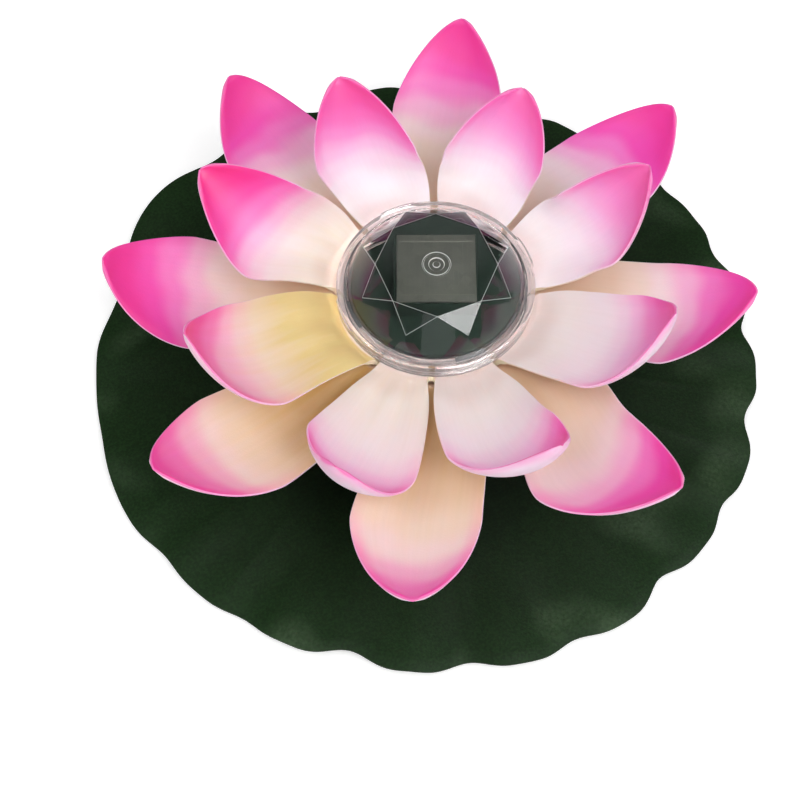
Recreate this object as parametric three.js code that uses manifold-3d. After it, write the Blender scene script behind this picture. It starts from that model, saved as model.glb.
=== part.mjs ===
// Solar floating lotus light, millimetres, +Z up.
//
// A green foam lily pad and two foam petal layers are clamped between a flat base plate and a clear
// cup. A removable lamp stands in the cup: a clear faceted lens over a black base that holds the
// solar cell, a rechargeable cell, a small circuit board, a slide switch and one 5 mm LED.
//
// The origin is on the lamp's axis, at the flat underside of the base plate. +X runs along the
// battery, and +Y runs from the lid's hinge to its latch.

import * as THREE from 'three';
import { mergeVertices } from 'three/addons/utils/BufferGeometryUtils.js';
import Module from 'manifold-3d';

const wasm = await Module();
wasm.setup();

// ---------------------------------------------------------------- driving dimensions

const GAP = 0.3; // between pieces that touch on the real light
const CLEARANCE = 0.4; // running clearance round pieces that slide, turn or lift out

// Stack under the cup
const PLATE_RADIUS = 32;
const PLATE_THICKNESS = 3;
const PAD_THICKNESS = 3;
const PAD_RADIUS = 140;
const SHEET = 1.8; // foam of the petal layers after forming
const CUP_FLOOR = 2;
const CUP_DEPTH = 40.2;
const CUP_WALL = 1.2;
const CUP_FLANGE = 1.5;
const CUP_DRAFT = 0.105; // sideways per unit of height
const CUP_CORNER = 5; // inside radius between floor and wall
const PLATE_CHAMFER = 0.75;

// Base screws
const BASE_SCREW_COUNT = 3;
const BASE_SCREW_CIRCLE = 20;
const BASE_SCREW_RADIUS = 1.5;
const BASE_SCREW_BITE = 5; // how far the thread goes into the cup's bosses
const BASE_HEAD_RADIUS = 2.9;
const BASE_HEAD_HEIGHT = 1.5;
const BASE_BOSS_WALL = 1.8;
const CROSS_REACH = 0.55; // of a screw's cross, as a share of its head's radius
const CROSS_WIDTH = 0.12;

// Battery, its contacts and its box
const BATTERY_RADIUS = 5.25;
const BATTERY_LENGTH = 44.5;
const BATTERY_NUB_RADIUS = 1.9;
const BATTERY_NUB_LENGTH = 0.9;
const SPRING_LENGTH = 6.2;
const SPRING_WIRE = 0.4; // wire radius
const SPRING_TURNS = 4;
const CONTACT_THICKNESS = 0.4;
const BOX_WALL = 1.2;
const BOARD_BAY = 15.6; // from the divider to the latch wall
const HINGE_LEDGE = 3.7;
const HINGE_SIDE = -8.9; // Y of the lid's hinge edge

// Lid
const LID_THICKNESS = 1.5;
const LID_CORNER = 1.2;
const HOOK_SPACING = 33.4;
const HOOK_WIDTH = 7.5;
const HOOK_REACH = 4.3;
const HOOK_HALF_HEIGHT = 0.75;
const HOOK_LIFT = 0.05; // over the lid's underside
const HOOK_AXIS_INSET = 1.5; // from the lid's edge to its turning line
const HOOK_SLOT_HEIGHT = 4.2;
const LATCH_WIDTH = 10.4;
const LATCH_REACH = 3.4;
const LATCH_ARM = 1.8;
const LATCH_BAR = 1.4;
const WINDOW_WIDTH = 11.4;
const WINDOW_LENGTH = 12;
const WINDOW_FROM_HINGE = 11.6;
const WINDOW_CORNER = 3.2;
const SIDE_NOTCH_DEPTH = 2.2;
const SIDE_NOTCH_LENGTH = 8.5;
const SIDE_NOTCH_FROM_HINGE = 2.4;
const SIDE_NOTCH_RIM = 0.5; // left outside the closed notch
const LETTER_HEIGHT = 2.3;
const LETTER_STROKE = 0.34;
const LETTER_RELIEF = 0.25;
const WORD_FROM_HINGE = 21.5;
const OFF_X = -17;
const ON_X = 11;

// Lamp base, cell tray and solar cell
const DISC_THICKNESS = 1.5;
const DISC_MARGIN = 0.7; // disc outside the box corners
const DISC_LIP = 0.5;
const DISC_LIP_WIDTH = 1;
const TAB_ANGLE = 21; // degrees, of each snap tab
const TAB_REACH = 1.1;
const DISC_RIM_WIDTH = 2; // of the raised edge round the tray
const TRAY_MARGIN = 1.5; // disc outside the tray
const TRAY_CHAMFER = 0.4;
const TRAY_THICKNESS = 1.5;
const TRAY_RECESS = 0.9;
const PEDESTAL_WALL = 1.6;
const PEDESTAL_MARGIN = 0.8; // outside the cell
const PEDESTAL_DROP = 1.5; // its top below the lens's ceiling
const CELL_SIZE = 30;
const CELL_THICKNESS = 1.1;
const CELL_TURN = -22.5; // degrees from the battery's line

// Lens
const SKIRT_WALL = 1.3;
const CHANNEL_WIDTH = 1.3;
const RING_WALL = 1.6;
const RING_HEIGHT = 4.8;
const RING_TOP = 1.4;
const RING_CHAMFER = 0.5;
const GIRDLE_LEDGE = 0.4; // girdle outside the skirt's bore
const CROWN_HEIGHT = 12.4;
const CROWN_WALL = 1.7;
const TABLE_RADIUS = 23.6;
const FACETS = 8;
const LUG_ANGLE = 24; // degrees
const LUG_REACH = 0.7;
const LUG_BITE = 0.6; // into the ring
const LUG_STEP_BELOW = 0.4;
const LUG_STEP_ABOVE = 0.9;
const TAB_NOTCH_MARGIN = 2; // degrees
const GATE_RADIUS = 6;
const GATE_DEPTH = 0.5;
const GATE_RING_RADIUS = 3;
const GATE_RING_WALL = 0.6;

// Circuit board and what is on it
const BOARD_LENGTH = 30;
const BOARD_THICKNESS = 1.2;
const BOARD_POST = 2.4;
const BOARD_POST_RADIUS = 2.4;
const BOARD_SCREW_RADIUS = 0.9;
const BOARD_HEAD_RADIUS = 1.7;
const BOARD_HEAD_HEIGHT = 1;
const BOARD_SCREW_INSET = 2.6;
const SWITCH_LENGTH = 9;
const SWITCH_WIDTH = 3.7;
const SWITCH_HEIGHT = 3.3;
const SWITCH_WALL = 0.7;
const SWITCH_TRAVEL = 3;
const SWITCH_X = -0.7;
const SWITCH_FROM_DIVIDER = 6.9;
const KNOB_LENGTH = 1.6;
const KNOB_WIDTH = 1.5;
const KNOB_PROUD = 1.8;
const LED_RADIUS = 2.5;
const LED_LENGTH = 8.6;
const LED_RIM = 0.4;
const LED_RIM_HEIGHT = 1;
const LED_TIP_BELOW_LID = 13.4;
const LED_X = 1;
const LED_FROM_DIVIDER = 1.4;
const LEAD_PITCH = 2.54;
const LEAD_HALF = 0.25;
const SLEEVE_RADIUS = 0.95;
const SLEEVE_WALL = 0.35;
const CHIP_LENGTH = 5;
const CHIP_WIDTH = 4;
const CHIP_HEIGHT = 1.5;
const CHIP_FROM_END = 6.6; // of the board
const INDUCTOR_RADIUS = 1.6;
const INDUCTOR_LENGTH = 6.5;
const INDUCTOR_FLANGE = 1;
const INDUCTOR_WAIST = 0.8; // share of its radius
const INDUCTOR_FROM_END = 5.8;
const WIRE_RADIUS = 0.5;
const WIRE_SPREAD = 1.3; // between the solar cell's two wires
const WIRE_HOLE_RADIUS = 2.2;

// Flower: petals stand at every 45 degrees in the flower's own frame, which is turned against the
// battery. Heights are above the lily pad, angles are in degrees.
const FLOWER_TURN = -22.5;
const PETALS = 8;
const ROOT_HALF_WIDTH = 13.5;
const ROOT_CUP = 6; // half the angle that a petal bends across at its root
const ROOT_PULL = 0.36; // share of a petal's length that its root slope holds
const RIM_FLARE = 3.4;
const RIM_LAP = 0.8; // of the bowl's rim into the petals
const INNER_ROOT_DROP = 1; // under the cup's flange
const LAYER_STEP = 5.2; // from the inner layer's rim down to the outer one's
const TIP_HALF_WIDTH = 0.9;
const TIP_OPENING = 0.1; // how much less the tip bends across than the middle

// Shares of a petal's length: where it is widest, where it has left the bowl's curve, and by
// where it has its full cup, turn and twist
const WIDEST = 0.56;
const LEAVES_BOWL = 0.3;
const CUPPED_BY = 0.5;
const TURNED_BY = 0.6;
const TWISTED_BY = 0.7;

const OUTER_SHAPE = {
  reach: 128, rise: 65, halfWidth: 24.8, fullness: 1.8, taper: 0.85, pull: 0.38,
};
const INNER_SHAPE = {
  reach: 92, rise: 88, halfWidth: 23.3, fullness: 1.9, taper: 0.8, pull: 0.48,
};

// No two petals of a moulded foam flower are bent alike. turn: from the petal's even place; out,
// up: of its tip past the layer's reach and rise; leave, arrive: slope of the midrib at the rim
// and at the tip; cup: half the angle that the petal bends across; twist; sway: of the tip
const OUTER_PETALS = [
  { turn: -9, out: -7, up: 3, leave: -4, arrive: 57, cup: 21, twist: -5, sway: 4 },
  { turn: -6, out: -1, up: -4, leave: 3, arrive: 56, cup: 22, twist: -11, sway: 0 },
  { turn: -4, out: -3, up: 0, leave: 2, arrive: 58, cup: 34, twist: -17, sway: -4 },
  { turn: -1, out: -1, up: -2, leave: 0, arrive: 64, cup: 17, twist: 11, sway: -4 },
  { turn: 0, out: 0, up: 0, leave: -4, arrive: 65, cup: 12, twist: -6, sway: -2 },
  { turn: -1, out: 5, up: 1, leave: -2, arrive: 62, cup: 22, twist: -1, sway: -7 },
  { turn: -5, out: 6, up: -5, leave: 8, arrive: 56, cup: 27, twist: 6, sway: 2 },
  { turn: -14, out: 1, up: 19, leave: 14, arrive: 68, cup: 42, twist: 20, sway: 16 },
];
const INNER_PETALS = [
  { turn: -5, out: -7, up: 0, leave: 12, arrive: 67, cup: 74, twist: 24, sway: 3 },
  { turn: 1, out: -12, up: -7, leave: 4, arrive: 47, cup: 58, twist: 10, sway: -6 },
  { turn: 3, out: -10, up: -1, leave: 4, arrive: 54, cup: 54, twist: -17, sway: 3 },
  { turn: 10, out: 2, up: -3, leave: 34, arrive: 48, cup: 52, twist: -33, sway: -9 },
  { turn: 12, out: 9, up: 8, leave: 44, arrive: 88, cup: 40, twist: -14, sway: -9 },
  { turn: 2, out: 7, up: -6, leave: 16, arrive: 96, cup: 36, twist: -14, sway: -1 },
  { turn: -9, out: 7, up: 5, leave: 30, arrive: 92, cup: 54, twist: 16, sway: 18 },
  { turn: -11, out: -1, up: 7, leave: 42, arrive: 96, cup: 42, twist: 7, sway: 11 },
];

// Lily pad: each lobe's angle in the flower's frame, how far it stands out past PAD_RADIUS and
// how deep the notch after it is
const PAD_LOBES = [
  { at: 12, out: -2, notch: 4 },
  { at: 30, out: -3, notch: 3 },
  { at: 46, out: -2, notch: 3 },
  { at: 62, out: -4, notch: 3 },
  { at: 80, out: 0, notch: 4 },
  { at: 99, out: 5, notch: 4 },
  { at: 123, out: 3, notch: 3 },
  { at: 150, out: 7, notch: 6 },
  { at: 184, out: 3, notch: 1 },
  { at: 211, out: 5, notch: 2 },
  { at: 230, out: 3, notch: 2 },
  { at: 246, out: 2, notch: 5 },
  { at: 266, out: 1, notch: 4 },
  { at: 284, out: 1, notch: 3 },
  { at: 301, out: 1, notch: 5 },
  { at: 320, out: -1, notch: 3 },
  { at: 336, out: -1, notch: 5 },
  { at: 355, out: -3, notch: 5 },
];
const PAD_WAVE = 2.2;
const PAD_WAVES = [
  { share: 0.5, count: 3, phase: 0.6 },
  { share: 0.3, count: 7, phase: 2.1 },
  { share: 0.2, count: 13, phase: 0 },
];
const PAD_FLAT_RADIUS = 78;
const PAD_EDGE = 0.6; // share of its thickness left at the rim

// ---------------------------------------------------------------- derived heights and radii

const padBottom = PLATE_THICKNESS + GAP;
const padTop = padBottom + PAD_THICKNESS;
const outerFloor = padTop + GAP;
const innerFloor = outerFloor + SHEET + GAP;
const cupBottom = innerFloor + SHEET + GAP;
const cupFloorTop = cupBottom + CUP_FLOOR;
const cupRim = cupFloorTop + CUP_DEPTH;
const ringBottom = cupRim + GAP;
const girdle = ringBottom + RING_HEIGHT;
const tableTop = girdle + CROWN_HEIGHT;

// The lamp base hangs from a disc, level with the ring's underside.
const discBottom = ringBottom + GAP;
const discTop = discBottom + DISC_THICKNESS;
const boardTop = discBottom - BOARD_POST - GAP;
const boardBottom = boardTop - BOARD_THICKNESS;
const trayBottom = discTop + DISC_LIP + GAP;
const trayTop = trayBottom + TRAY_THICKNESS;
const pedestalTop = tableTop - CROWN_WALL - PEDESTAL_DROP;
const cellBottom = pedestalTop - TRAY_RECESS + GAP;
const batteryHeight = trayBottom - GAP - BATTERY_RADIUS;
const lidTop = batteryHeight - BATTERY_RADIUS - CLEARANCE;
const lidBottom = lidTop - LID_THICKNESS;
const boxBottom = lidTop + GAP;

// Plan of the box
const bayLength = BATTERY_LENGTH + SPRING_LENGTH + CONTACT_THICKNESS + 4 * GAP + 2 * CLEARANCE;
const boxHalfLength = bayLength / 2 + BOX_WALL;
const batteryY = HINGE_SIDE + CLEARANCE + BATTERY_RADIUS;
const dividerNear = batteryY + BATTERY_RADIUS + CLEARANCE;
const dividerFar = dividerNear + BOX_WALL;
const latchSide = dividerFar + BOARD_BAY + BOX_WALL;
const ledgeEdge = HINGE_SIDE - HINGE_LEDGE;
const hookAxisY = HINGE_SIDE - HOOK_AXIS_INSET;
const hookAxisZ = lidBottom + HOOK_HALF_HEIGHT + HOOK_LIFT;
const discRadius = Math.hypot(boxHalfLength, latchSide) + DISC_MARGIN - LID_CORNER / 2;

// Lens radii, from the disc outwards
const skirtInner = discRadius + GAP;
const skirtOuter = skirtInner + SKIRT_WALL;
const channelOuter = skirtOuter + CHANNEL_WIDTH;
const ringRadius = channelOuter + RING_WALL;
const girdleRadius = skirtInner + GIRDLE_LEDGE;
const trayRadius = discRadius - TRAY_MARGIN;

// Cup radii
const cupInnerTop = discRadius + 2 * CLEARANCE;
const cupOuterTop = cupInnerTop + CUP_WALL;
const cupOuterBottom = cupOuterTop - CUP_DRAFT * (cupRim - cupBottom);
const flangeBottom = cupRim - CUP_FLANGE;

// Petal layer rims
const innerRimHeight = flangeBottom - GAP - SHEET / 2 - INNER_ROOT_DROP;
const outerRimHeight = innerRimHeight - LAYER_STEP;

// Battery, from the spring end to the contact end
const springStart = -bayLength / 2 + GAP;
const batteryStart = springStart + SPRING_LENGTH + GAP;
const batteryEnd = batteryStart + BATTERY_LENGTH;
const contactStart = bayLength / 2 - GAP - CONTACT_THICKNESS;

// Board parts
const boardNear = dividerFar + GAP;
const boardFar = latchSide - BOX_WALL - GAP;
const ledY = dividerFar + LED_FROM_DIVIDER;
const ledTip = lidBottom - LED_TIP_BELOW_LID;
const ledBase = ledTip + LED_LENGTH;
const switchY = dividerFar + SWITCH_FROM_DIVIDER;
const switchTop = boardBottom - GAP;
const switchBottom = switchTop - SWITCH_HEIGHT;
const knobX = SWITCH_X - SWITCH_TRAVEL / 2;
const wireHoleY = boardFar - 2 * WIRE_HOLE_RADIUS;

const DEGREE = Math.PI / 180;
const QUARTERS = [0, 90, 180, 270];

// ---------------------------------------------------------------- geometry helpers

/** Keeps positions only, merges shared vertices and turns the faces outwards. */
function clean(geometry) {
  const bare = geometry.index ? geometry.clone() : mergeVertices(geometry);
  bare.deleteAttribute('normal');
  bare.deleteAttribute('uv');
  const merged = mergeVertices(bare, 1e-4);
  const p = merged.attributes.position;
  const faces = [];
  let volume = 0;
  const a = new THREE.Vector3();
  const b = new THREE.Vector3();
  const c = new THREE.Vector3();
  for (let i = 0; i < merged.index.count; i += 3) {
    const [u, v, w] = [0, 1, 2].map((k) => merged.index.getX(i + k));
    if (u === v || v === w || w === u) continue;
    faces.push(u, v, w);
    a.fromBufferAttribute(p, u);
    b.fromBufferAttribute(p, v);
    c.fromBufferAttribute(p, w);
    volume += a.dot(b.cross(c));
  }
  if (volume < 0) faces.reverse();
  merged.setIndex(faces);
  return merged;
}

function toSolid(geometry) {
  const g = clean(geometry);
  return new wasm.Manifold(
    new wasm.Mesh({
      numProp: 3,
      vertProperties: new Float32Array(g.attributes.position.array),
      triVerts: new Uint32Array(g.index.array),
    }),
  );
}

function toGeometry(solid) {
  const mesh = solid.getMesh();
  const geometry = new THREE.BufferGeometry();
  geometry.setAttribute('position', new THREE.BufferAttribute(mesh.vertProperties, 3));
  geometry.setIndex(new THREE.BufferAttribute(mesh.triVerts, 1));
  return geometry;
}

const join = (...solids) => solids.reduce((whole, piece) => whole.add(piece));
const cut = (solid, ...tools) => tools.reduce((rest, tool) => rest.subtract(tool), solid);

function box(x0, x1, y0, y1, z0, z1) {
  const g = new THREE.BoxGeometry(x1 - x0, y1 - y0, z1 - z0);
  return toSolid(g.translate((x0 + x1) / 2, (y0 + y1) / 2, (z0 + z1) / 2));
}

/** Turns a closed outline of [radius, height] points about the Z axis. */
function turned(outline, segments = 48) {
  const points = outline.map(([r, z]) => new THREE.Vector2(Math.max(r, 0), z));
  const onAxis = outline[0][0] <= 0 && outline[outline.length - 1][0] <= 0;
  if (!onAxis) points.push(points[0].clone());
  return new THREE.LatheGeometry(points, segments).rotateX(Math.PI / 2);
}

function cylinder(radius, z0, z1, x = 0, y = 0, segments = 24) {
  const outline = [[0, z0], [radius, z0], [radius, z1], [0, z1]];
  return toSolid(turned(outline, segments).translate(x, y, 0));
}

/** A sector of a ring between two radii, two heights and two angles in degrees. */
function ringSector(r0, r1, z0, z1, middle, width) {
  const from = (middle - width / 2) * DEGREE;
  const to = (middle + width / 2) * DEGREE;
  const shape = new THREE.Shape();
  shape.absarc(0, 0, r1, from, to, false);
  shape.absarc(0, 0, r0, to, from, true);
  return toSolid(extruded(shape, z0, z1, 8));
}

function extruded(shape, z0, z1, curveSegments = 6) {
  const options = { depth: z1 - z0, bevelEnabled: false, curveSegments };
  return new THREE.ExtrudeGeometry(shape, options).translate(0, 0, z0);
}

/** A rectangle with rounded corners; the radii run from the lower left, anticlockwise. */
function roundedRectangle(x0, x1, y0, y1, radii) {
  const [a, b, c, d] = Array.isArray(radii) ? radii : [radii, radii, radii, radii];
  const shape = new THREE.Shape();
  shape.moveTo(x0 + a, y0);
  shape.lineTo(x1 - b, y0);
  if (b > 0) shape.absarc(x1 - b, y0 + b, b, -Math.PI / 2, 0, false);
  shape.lineTo(x1, y1 - c);
  if (c > 0) shape.absarc(x1 - c, y1 - c, c, 0, Math.PI / 2, false);
  shape.lineTo(x0 + d, y1);
  if (d > 0) shape.absarc(x0 + d, y1 - d, d, Math.PI / 2, Math.PI, false);
  shape.lineTo(x0, y0 + a);
  if (a > 0) shape.absarc(x0 + a, y0 + a, a, Math.PI, 1.5 * Math.PI, false);
  return shape;
}

/** A round wire swept along a smooth curve through the points. */
function wireAlong(points, radius, steps, sides = 8) {
  const path = new THREE.CatmullRomCurve3(points.map((p) => new THREE.Vector3(...p)));
  const section = new THREE.Shape();
  for (let i = 0; i < sides; i += 1) {
    const angle = (i / sides) * 2 * Math.PI;
    const corner = [radius * Math.cos(angle), radius * Math.sin(angle)];
    if (i === 0) section.moveTo(...corner);
    else section.lineTo(...corner);
  }
  section.closePath();
  const options = { steps, extrudePath: path, bevelEnabled: false };
  return toSolid(new THREE.ExtrudeGeometry(section, options));
}

/**
 * A closed sheet over a grid of points: upper[i][j] and lower[i][j]. With around = true the
 * columns close on themselves and the first row is one point.
 */
function sheetSolid(upper, lower, around) {
  const rows = upper.length;
  const columns = upper[0].length;
  const positions = [];
  for (const grid of [upper, lower]) {
    for (const row of grid) for (const point of row) positions.push(point.x, point.y, point.z);
  }
  const at = (side, i, j) => side * rows * columns + i * columns + (j % columns);
  const faces = [];
  const quad = (a, b, c, d) => faces.push(a, b, c, a, c, d);
  const spans = around ? columns : columns - 1;
  for (let i = 0; i + 1 < rows; i += 1) {
    for (let j = 0; j < spans; j += 1) {
      quad(at(0, i, j), at(0, i + 1, j), at(0, i + 1, j + 1), at(0, i, j + 1));
      quad(at(1, i, j), at(1, i, j + 1), at(1, i + 1, j + 1), at(1, i + 1, j));
    }
  }
  const last = rows - 1;
  for (let j = 0; j < spans; j += 1) {
    quad(at(0, last, j), at(1, last, j), at(1, last, j + 1), at(0, last, j + 1));
    if (!around) quad(at(0, 0, j + 1), at(1, 0, j + 1), at(1, 0, j), at(0, 0, j));
  }
  for (let i = 0; i + 1 < rows && !around; i += 1) {
    quad(at(0, i, 0), at(1, i, 0), at(1, i + 1, 0), at(0, i + 1, 0));
    quad(at(0, i + 1, spans), at(1, i + 1, spans), at(1, i, spans), at(0, i, spans));
  }
  const geometry = new THREE.BufferGeometry();
  geometry.setAttribute('position', new THREE.Float32BufferAttribute(positions, 3));
  geometry.setIndex(faces);
  return toSolid(geometry);
}

const mix = (a, b, share) => a + (b - a) * share;
const ease = (x) => THREE.MathUtils.smoothstep(x, 0, 1);

// ---------------------------------------------------------------- base stack

const screwPlaces = Array.from({ length: BASE_SCREW_COUNT }, (_, i) => {
  const angle = Math.PI / 2 + (i / BASE_SCREW_COUNT) * 2 * Math.PI;
  return [BASE_SCREW_CIRCLE * Math.cos(angle), BASE_SCREW_CIRCLE * Math.sin(angle)];
});
const screwHoles = (z0, z1, radius = BASE_SCREW_RADIUS + GAP) =>
  screwPlaces.map(([x, y]) => cylinder(radius, z0, z1, x, y, 20));

const screwTip = cupFloorTop + BASE_SCREW_BITE - GAP;
const headBottom = GAP;
const headTop = headBottom + BASE_HEAD_HEIGHT;

function basePlate() {
  const disc = toSolid(turned([
    [0, 0],
    [PLATE_RADIUS - PLATE_CHAMFER, 0],
    [PLATE_RADIUS, PLATE_CHAMFER],
    [PLATE_RADIUS, PLATE_THICKNESS],
    [0, PLATE_THICKNESS],
  ]));
  const sink = screwHoles(-1, headTop + GAP, BASE_HEAD_RADIUS + GAP);
  return cut(disc, ...screwHoles(-1, PLATE_THICKNESS + 1), ...sink);
}

function baseScrew([x, y]) {
  const head = BASE_HEAD_RADIUS;
  const body = toSolid(turned([
    [0, headBottom],
    [head * 0.75, headBottom],
    [head, headBottom + BASE_HEAD_HEIGHT / 2],
    [head, headTop],
    [BASE_SCREW_RADIUS, headTop],
    [BASE_SCREW_RADIUS, screwTip - BASE_SCREW_RADIUS],
    [0, screwTip],
  ], 20).translate(x, y, 0));
  const slot = head * CROSS_REACH;
  const width = head * CROSS_WIDTH;
  const depth = BASE_HEAD_HEIGHT / 2;
  const cross = [
    box(x - slot, x + slot, y - width, y + width, headBottom - 1, headBottom + depth),
    box(x - width, x + width, y - slot, y + slot, headBottom - 1, headBottom + depth),
  ];
  return cut(body, ...cross);
}

/** Radius of the lily pad's scalloped rim at an angle in degrees, in the flower's frame. */
function padRim(angle) {
  const count = PAD_LOBES.length;
  for (let i = 0; i < count; i += 1) {
    const lobe = PAD_LOBES[i];
    const next = PAD_LOBES[(i + 1) % count];
    const span = (next.at - lobe.at + 360) % 360;
    const share = ((angle - lobe.at + 720) % 360) / span;
    if (share > 1) continue;
    const notch = lobe.notch * (0.5 - 0.5 * Math.cos(2 * Math.PI * share)) ** 2;
    return PAD_RADIUS + mix(lobe.out, next.out, ease(share)) - notch;
  }
  return PAD_RADIUS;
}

/** Height of the pad's waves at an angle in degrees, from -1 to 1. */
const padWave = (angle) => PAD_WAVES.reduce(
  (sum, { share, count, phase }) => sum + share * Math.sin(count * angle * DEGREE + phase), 0);

function lilyPad() {
  const columns = 84;
  const rings = [0, 0.5, 0.72, 0.87, 0.97, 1];
  const grid = (side) => rings.map((ring) => Array.from({ length: columns }, (_, j) => {
    const angle = (j / columns) * 360;
    const radius = padRim(angle) * ring;
    const past = Math.max(0, radius - PAD_FLAT_RADIUS) / (PAD_RADIUS - PAD_FLAT_RADIUS);
    const middle = (padBottom + padTop) / 2 + PAD_WAVE * past ** 2 * padWave(angle);
    const half = (PAD_THICKNESS / 2) * (ring < 1 ? 1 : PAD_EDGE);
    const turn = (angle + FLOWER_TURN) * DEGREE;
    return new THREE.Vector3(
      radius * Math.cos(turn),
      radius * Math.sin(turn),
      middle + side * half,
    );
  }));
  return cut(sheetSolid(grid(1), grid(-1), true), ...screwHoles(padBottom - 1, padTop + 1));
}

// ---------------------------------------------------------------- cup and petal layers

/** Points of the cup's outer surface, moved outwards by a distance, up to a height. */
function cupOutline(outwards, top) {
  const slope = Math.hypot(1, CUP_DRAFT);
  const floor = cupBottom - outwards;
  const wallAt = (z) => cupOuterBottom + CUP_DRAFT * (z - cupBottom) + outwards * slope;
  const corner = CUP_CORNER + CUP_WALL + outwards;
  const centreZ = floor + corner;
  const centreR = wallAt(centreZ) - corner * slope;
  const steps = 3;
  const points = [[centreR, floor]];
  const last = Math.PI / 2 - Math.atan(CUP_DRAFT);
  for (let i = 1; i <= steps; i += 1) {
    const angle = (i / steps) * last;
    points.push([centreR + corner * Math.sin(angle), centreZ - corner * Math.cos(angle)]);
  }
  points.push([wallAt(top), top]);
  return points;
}

function lampCup() {
  const outside = cupOutline(0, flangeBottom);
  const inside = cupOutline(-CUP_WALL, cupRim).map(([r, z]) => [r, Math.max(z, cupFloorTop)]);
  const shell = toSolid(turned([
    [0, cupBottom],
    ...outside,
    [ringRadius, flangeBottom],
    [ringRadius, cupRim],
    ...inside.reverse(),
    [0, cupFloorTop],
  ]));
  const bossTop = cupFloorTop + BASE_SCREW_BITE;
  const bossRadius = BASE_SCREW_RADIUS + GAP + BASE_BOSS_WALL;
  const bosses = screwPlaces.map(([x, y]) =>
    cylinder(bossRadius, cupFloorTop - CUP_FLOOR / 2, bossTop, x, y));
  return cut(join(shell, ...bosses), ...screwHoles(cupBottom - 1, bossTop + 1));
}

/** The midrib of a petal, as radius and height, from the layer's rim to the petal's tip. */
function petalMidrib(petal, shape, rim) {
  const tip = new THREE.Vector2(shape.reach + petal.out, padTop + shape.rise + petal.up);
  const length = tip.distanceTo(rim);
  const slope = (degrees, run) =>
    new THREE.Vector2(Math.cos(degrees * DEGREE), Math.sin(degrees * DEGREE))
      .multiplyScalar(run * length);
  return new THREE.CubicBezierCurve(
    rim,
    rim.clone().add(slope(petal.leave, ROOT_PULL)),
    tip.clone().sub(slope(petal.arrive, shape.pull)),
    tip,
  );
}

function petalHalfWidth(shape, along) {
  if (along < WIDEST) return mix(ROOT_HALF_WIDTH, shape.halfWidth, ease(along / WIDEST));
  const past = (along - WIDEST) / (1 - WIDEST);
  const half = shape.halfWidth * (1 - past ** shape.fullness) ** shape.taper;
  return Math.max(TIP_HALF_WIDTH, half);
}

/** Where a point of a petal's middle surface lies; along and across run 0 to 1 and -1 to 1. */
function petalPoint(petal, shape, place, midrib, along, across) {
  const middle = midrib.getPoint(along);
  const ahead = midrib.getTangent(Math.min(along, 0.999));
  const opening = 1 - TIP_OPENING * ease((along - TURNED_BY) / (1 - TURNED_BY));
  const bend = mix(ROOT_CUP, petal.cup, ease(along / CUPPED_BY)) * DEGREE * opening;
  const twist = petal.twist * DEGREE * ease(along / TWISTED_BY);
  const radius = petalHalfWidth(shape, along) / bend;
  const sideways = radius * Math.sin(bend * across);
  const lift = radius * (1 - Math.cos(bend * across));
  const y = sideways * Math.cos(twist) - lift * Math.sin(twist);
  const up = sideways * Math.sin(twist) + lift * Math.cos(twist);
  const r = middle.x - ahead.y * up;
  const z = middle.y + ahead.x * up;
  // Near the rim the petal wraps round the bowl; further out it is straight across.
  const straight = ease(along / LEAVES_BOWL);
  const wrap = ((1 - straight) * y) / r;
  const side = straight * y + petal.sway * along ** 2;
  const turn = (place + petal.turn * ease(along / TURNED_BY) + FLOWER_TURN) * DEGREE + wrap;
  return new THREE.Vector3(
    r * Math.cos(turn) - side * Math.sin(turn),
    r * Math.sin(turn) + side * Math.cos(turn),
    z,
  );
}

function petalBlade(petal, shape, place, rim) {
  const rows = 11;
  const columns = 6;
  const step = 1e-3;
  const midrib = petalMidrib(petal, shape, rim);
  const side = (direction) => Array.from({ length: rows }, (_, i) =>
    Array.from({ length: columns }, (_, j) => {
      const along = i / (rows - 1);
      const across = -1 + (2 * j) / (columns - 1);
      const at = (a, b) => petalPoint(petal, shape, place, midrib, a, b);
      const before = Math.max(0, along - step);
      const after = Math.min(1, along + step);
      const lengthwise = at(after, across).sub(at(before, across));
      const crosswise = at(along, across + step).sub(at(along, across - step));
      const normal = lengthwise.cross(crosswise).normalize();
      return at(along, across).addScaledVector(normal, (direction * SHEET) / 2);
    }));
  return sheetSolid(side(1), side(-1), false);
}

/** One die-cut foam layer: a bowl round the cup whose rim flares out into eight petals. */
function petalLayer(petals, shape, outwards, rimHeight, firstPlace) {
  const wallTop = rimHeight - RIM_FLARE;
  const inside = cupOutline(outwards, wallTop);
  const outside = cupOutline(outwards + SHEET, wallTop);
  const wall = (inside[inside.length - 1][0] + outside[outside.length - 1][0]) / 2;
  const rim = new THREE.Vector2(wall + RIM_FLARE, rimHeight);
  const flare = (half) => [0.5, 1].map((share) => {
    const angle = (share * Math.PI) / 2;
    const radius = RIM_FLARE + half;
    return [rim.x - radius * Math.cos(angle), rim.y - RIM_FLARE + radius * Math.sin(angle)];
  });
  const bowl = toSolid(turned([
    [0, outside[0][1]],
    ...outside,
    ...flare(-SHEET / 2),
    [rim.x + RIM_LAP, rim.y - SHEET / 2],
    [rim.x + RIM_LAP, rim.y + SHEET / 2],
    ...flare(SHEET / 2).reverse(),
    ...inside.reverse(),
    [0, inside[inside.length - 1][1]],
  ], 40));
  const blades = petals.map((petal, i) =>
    petalBlade(petal, shape, firstPlace + (i * 360) / PETALS, rim));
  return cut(join(bowl, ...blades), ...screwHoles(outerFloor - 1, cupBottom));
}

// ---------------------------------------------------------------- lens

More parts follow.
